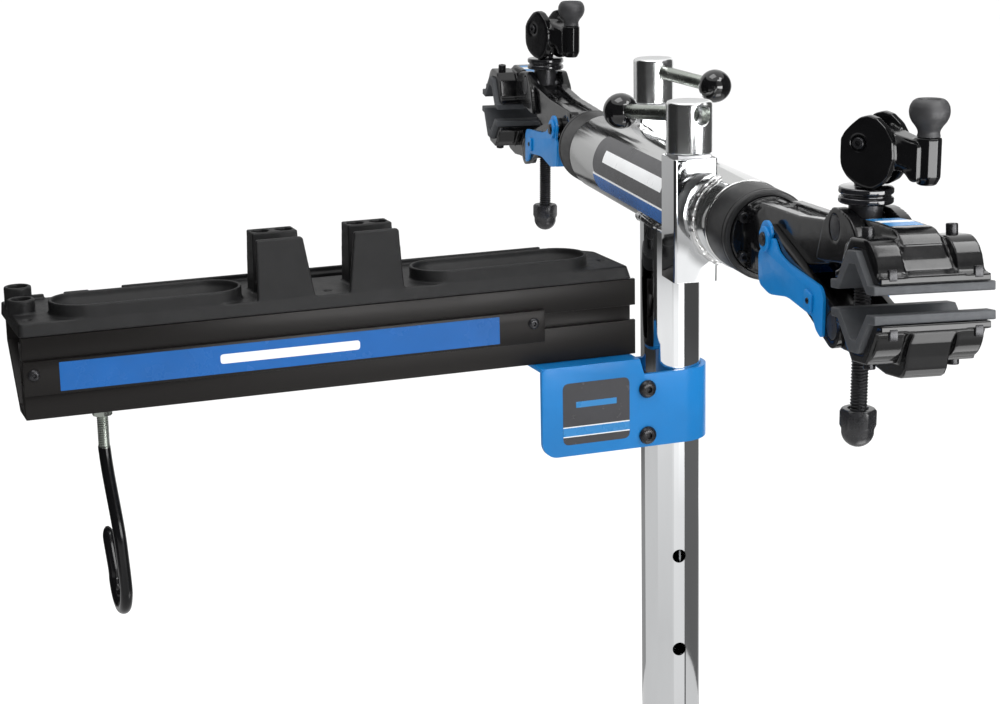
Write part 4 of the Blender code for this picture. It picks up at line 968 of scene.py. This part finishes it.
    # label bar
    bar = eased(box(f + 0.3, f + 4.0, y0 - 0.5, y1 - 99.0, -142, -110), 0.5, 2)
    cuts = []
    for y in (y0 + 9.0, y1 - 111.0):
        cuts.append(("-", moved(cylinder(2.9, -20, 40, 32), shift(f - 13, y, -122.5) @ ALONG_X)))
    add(combine(bar, *cuts), "label_plate_bar", "black_anodised_rail", "label_plate")
    for tag, y in (("left", y0 + 9.0), ("right", y1 - 111.0)):
        screw = button_screw(5.6, 3.0, 2.6, 18.0, 2.2)
        add(moved(screw, shift(f + 4.2, y, -122.5) @ ALONG_X), "label_screw_%s_body" % tag, "black_oxide_bolt",
            "label_screw_" + tag)
    add(prism(rounded([(-619.5, -139.5), (-191.5, -139.5), (-191.5, -112.5), (-619.5, -112.5)], 0.8, 3),
              f + 4.0, f + 4.2, "YZ"), "strip_blue", "label_blue", "label_plate", body="tray",
        slot="black_anodised_rail")
    add(prism(rounded([(-470, -130), (-334, -130), (-334, -121), (-470, -121)], 3.0, 6), f + 4.2, f + 4.35, "YZ"),
        "strip_bar", "label_white", "label_plate", body="tray", slot="black_anodised_rail")

    # bracket
    bend = 5.0
    wrap = arc(0, 0, 36.0, 0, 180, 48)
    inside = arc(0, 0, 30.75, 180, 0, 48)
    u_shape = [(36.0, -62.0)] + wrap + [(-36.0, -62.0), (-30.75, -62.0)] + inside + [(30.75, -62.0)]
    band = prism(u_shape, -257.0, -182.0)
    ledge_top = bottom - 0.3
    outline = [(-50.0, ledge_top)] + arc(-155 + 6, ledge_top - 6, 6, 90, 180, 6) \
        + arc(-155 + 16, -257 + 16, 16, 180, 270, 12) + [(-45.0, -257.0), (-45.0, -182.0)] \
        + arc(-50 - 0.01, -182.0 + 5, 5, -60, 0, 4)[::-1]
    outline = [(-50.0, ledge_top)] + arc(-149, ledge_top - 6, 6, 90, 180, 6) + arc(-139, -241, 16, 180, 270, 12) \
        + [(-45.0, -257.0), (-45.0, -182.0)]
    front_plate = prism(outline, 30.75, 36.0, "YZ")
    ledge = box(-22.0, 34.8, -155.0, -50.0, ledge_top - 4, ledge_top)
    solid = combine(band, ("+", front_plate), ("+", ledge))
    solid = eased(solid, 1.1, 3)
    steps = [("-", moved(cylinder(4.6, -60, 60, 48), shift(0, -42.0, z) @ ALONG_X)) for z in (-197.0, -245.0)]
    add(combine(solid, *steps), "tray_bracket_body", "blue_powder_coat", "tray_bracket")
    for tag, z in (("upper", -197.0), ("lower", -245.0)):
        bolt = button_screw(9.2, 5.4, 4.2, 82.0, 3.5)
        add(moved(bolt, shift(36.3, -42.0, z) @ ALONG_X), "bracket_bolt_%s_body" % tag, "black_oxide_bolt",
            "bracket_bolt_" + tag)
    face = 36.0
    label = rounded([(-133.3, -245.5), (-61.5, -245.5), (-61.5, -182.5), (-133.3, -182.5)], 7.0, 8)
    add(prism(label, face, face + 0.2, "YZ"), "bracket_label_dark", "label_black", "tray_bracket", body="tray",
        slot="blue_powder_coat")
    bands = (("white", -226.9, -227.9, "label_white"), ("blue", -227.9, -236.6, "label_bright_blue"),
             ("line", -236.6, -237.6, "label_white"), ("bar", -202.0, -208.0, "label_bright_blue"))
    for stem, z_top, z_low, look in bands:
        inset = 14.0 if stem == "bar" else 0.0
        strip = box(face + 0.2, face + 0.35, -133.2 + inset, -61.6 - inset, z_low, z_top)
        add(strip, "bracket_label_" + stem, look, "tray_bracket", body="tray", slot="blue_powder_coat")

    # hook and nut
    hexagon = prism(arc(0, 0, 10.0, 0, 300, 5), -173.5, bottom - 0.3)
    cone = lathe([(0.0, bottom - 0.3), (9.0, bottom - 0.3), (10.1, bottom - 1.2), (10.1, -172.4), (9.0, -173.5),
                  (0.0, -173.5)], 48)
    nut = combine(hexagon, ("&", cone), ("-", cylinder(6.0, -200, -150, 48)))
    hook_at = shift(-10.0, -578.5)
    add(moved(nut, hook_at), "hook_nut_body", "zinc_steel", "hook_nut")
    stud = threaded(5.5, 0.55, 1.75, -206.0, -146.0, 36)
    path = [(0, 0, -203), (0.2, 0.1, -208), (7, 1, -230), (25, 4, -278), (29, 5.5, -306)]
    for i in range(9):
        a = math.radians(-22.5 * i)
        path.append((29 * math.cos(a), 7.0, -335 + 29 * math.sin(a)))
    path += [(-35, 5.5, -312), (-42, 5, -296)]
    path = smooth_path(path, 8)
    n = len(path)

    def girth(i):
        if i < 4:
            return 5.2 + 0.15 * i
        left = n - 1 - i
        return 5.85 if left > 6 else 5.85 * math.sqrt(max(0.04, 1 - ((6 - left) / 6.2) ** 2))
    add(moved(bar_along(path, girth, 28), hook_at), "hook_grip", "black_vinyl", "hook")
    add(moved(stud, hook_at), "hook_stud", "zinc_steel", "hook", body="hook")


build_mast()
build_lock("near", 0)
build_lock("far", 180)
build_clamp("near", 0, 45.0)
build_clamp("far", 180, 204.0)
build_tray()


# ------------------------------------------------------------------ stage, light and camera

def stage_panel(name, start, stop, radius, low, high, stops):
    """Curved reflector panel, seen only in reflections; stops are (height share, grey)."""
    bm = bmesh.new()
    rings = []
    for z in (low, high):
        rings.append([bm.verts.new((x, y, z)) for x, y in arc(0, 0, radius, start, stop, 24)])
    for k in range(24):
        bm.faces.new((rings[0][k], rings[0][k + 1], rings[1][k + 1], rings[1][k]))
    ob = mesh_object(bm, name)
    n = Nodes(name)
    height = n.add("ShaderNodeSeparateXYZ", {0: n.add("ShaderNodeTexCoord").outputs["Generated"]}).outputs["Z"]
    ramp = n.add("ShaderNodeValToRGB", {"Fac": height})
    ramp.color_ramp.elements[0].position = stops[0][0]
    ramp.color_ramp.elements[0].color = (stops[0][1],) * 3 + (1,)
    ramp.color_ramp.elements[1].position = stops[-1][0]
    ramp.color_ramp.elements[1].color = (stops[-1][1],) * 3 + (1,)
    for position, grey in stops[1:-1]:
        ramp.color_ramp.elements.new(position).color = (grey, grey, grey, 1)
    glow = n.add("ShaderNodeEmission", {"Color": ramp.outputs["Color"]})
    n.tree.links.new(glow.outputs[0], n.tree.nodes["Material Output"].inputs["Surface"])
    ob.data.materials.append(n.material)
    ob.visible_camera = False
    ob.visible_diffuse = False
    ob.visible_shadow = False
    ob.visible_transmission = False


def stage_softbox(name, centre, size, strength):
    """Level rectangle of light, seen only in reflections."""
    bm = bmesh.new()
    x, y, z = centre
    corners = ((-0.5, -0.5), (0.5, -0.5), (0.5, 0.5), (-0.5, 0.5))
    bm.faces.new([bm.verts.new((x + a * size[0], y + b * size[1], z)) for a, b in corners])
    ob = mesh_object(bm, name)
    n = Nodes(name)
    glow = n.add("ShaderNodeEmission", {"Strength": strength})
    n.tree.links.new(glow.outputs[0], n.tree.nodes["Material Output"].inputs["Surface"])
    ob.data.materials.append(n.material)
    ob.visible_camera = False
    ob.visible_diffuse = False
    ob.visible_shadow = False
    ob.visible_transmission = False


def build_stage():
    bm = bmesh.new()
    half = 60.0
    corners = [bm.verts.new((x, y, 0.0)) for x, y in ((-half, -half), (half, -half), (half, half), (-half, half))]
    bm.faces.new(corners)
    floor = mesh_object(bm, "floor")
    n = Nodes("pale_floor")
    coords = n.add("ShaderNodeTexCoord").outputs["Object"]
    color = n.mix(n.span(n.noise(coords, 0.6), 0.0, 1.0), (0.90, 0.90, 0.90, 1), (0.93, 0.93, 0.93, 1))
    n.tree.links.new(color, n.shader.inputs["Base Color"])
    n.shader.inputs["Roughness"].default_value = 0.7
    floor.data.materials.append(n.material)

    world = bpy.data.worlds.new("studio")
    bpy.context.scene.world = world
    world.use_nodes = True
    background = world.node_tree.nodes["Background"]
    background.inputs["Color"].default_value = (1.0, 1.0, 1.0, 1.0)
    background.inputs["Strength"].default_value = 1.12

    stage_panel("reflector_left", 222, 291, 1.3, 0.0, 2.4,
                [(0.0, 0.72), (0.2, 0.70), (0.255, 0.03), (0.6, 0.02), (1.0, 0.06)])
    stage_panel("reflector_front", -69, -5, 1.3, 0.0, 2.4,
                [(0.0, 0.7), (0.17, 0.85), (0.21, 0.95), (0.28, 1.05), (0.315, 0.9), (0.35, 0.07), (1.0, 0.03)])
    stage_panel("reflector_near", -5, 15, 1.3, 0.0, 2.4,
                [(0.0, 0.8), (0.17, 1.0), (0.21, 1.2), (0.31, 1.2), (0.34, 0.5), (0.40, 0.7), (0.425, 11.0), (0.54, 11.0),
                 (0.56, 0.6), (1.0, 0.5)])
    stage_panel("softbox_strip", 15, 38, 1.3, 0.0, 2.4,
                [(0.0, 0.8), (0.17, 1.0), (0.21, 1.3), (0.25, 1.6), (0.37, 1.6), (0.41, 11.0), (0.54, 11.0), (0.56, 0.6),
                 (1.0, 0.5)])
    stage_panel("reflector_right", 38, 128, 1.3, 0.0, 2.4, [(0.0, 0.14), (0.2, 0.15), (0.28, 0.08), (1.0, 0.08)])
    stage_panel("reflector_back", 158, 222, 1.35, 0.0, 2.4,
                [(0.0, 0.35), (0.14, 0.3), (0.22, 0.1), (0.31, 0.2), (0.35, 0.4), (0.48, 0.5), (0.58, 0.75), (1.0, 0.9)])
    stage_softbox("softbox_above", (1.85, 0.5, 2.5), (0.8, 1.0), 10.0)
    stage_softbox("softbox_over_jaws", (0.62, 0.5, 2.05), (0.7, 0.3), 8.0)
    stage_softbox("softbox_below", (0.66, 0.35, 0.03), (0.6, 0.7), 3.5)
    stage_softbox("floor_glow", (0.0, 0.0, 0.015), (3.4, 3.4), 0.72)

    def area(name, location, target, size, power):
        light = bpy.data.lights.new(name, "AREA")
        light.shape = "RECTANGLE"
        light.size = size[0]
        light.size_y = size[1]
        light.energy = power
        ob = bpy.data.objects.new(name, light)
        ob.location = location
        ob.rotation_euler = (Vector(target) - Vector(location)).to_track_quat("-Z", "Y").to_euler()
        bpy.context.scene.collection.objects.link(ob)

    area("key_light", (2.2, 0.9, 3.2), (0.1, -0.1, 1.1), (1.4, 1.0), 42.0)
    area("top_light", (0.2, -0.6, 3.6), (0.1, 0.0, 1.1), (1.4, 1.4), 22.0)
    area("right_light", (1.6, 2.2, 2.2), (0.4, 0.0, 1.1), (0.5, 1.6), 18.0)


def build_camera():
    azimuth = math.radians(76.99)
    rise = math.radians(13.68)
    roll = math.radians(-1.16)
    back = Vector((math.sin(azimuth) * math.cos(rise), -math.cos(azimuth) * math.cos(rise), math.sin(rise)))
    right = Vector((math.cos(azimuth), math.sin(azimuth), 0))
    up = back.cross(right)
    right_rolled = right * math.cos(roll) + up * math.sin(roll)
    up_rolled = up * math.cos(roll) - right * math.sin(roll)
    spot = (2201.7 * back - 169.93 * right_rolled - 166.63 * up_rolled + Vector((0, 0, AXIS_HEIGHT))) * MM
    data = bpy.data.cameras.new("camera")
    data.sensor_width = 36.0
    data.lens = 36.0 * 2202.4 / 1000
    data.clip_start = 0.05
    data.clip_end = 300.0
    camera = bpy.data.objects.new("camera", data)
    bpy.context.scene.collection.objects.link(camera)
    camera.matrix_world = Matrix.Translation(spot) @ Matrix((right_rolled, up_rolled, back)).transposed().to_4x4()
    bpy.context.scene.camera = camera


build_stage()
build_camera()
bpy.context.scene.view_settings.view_transform = "Standard"
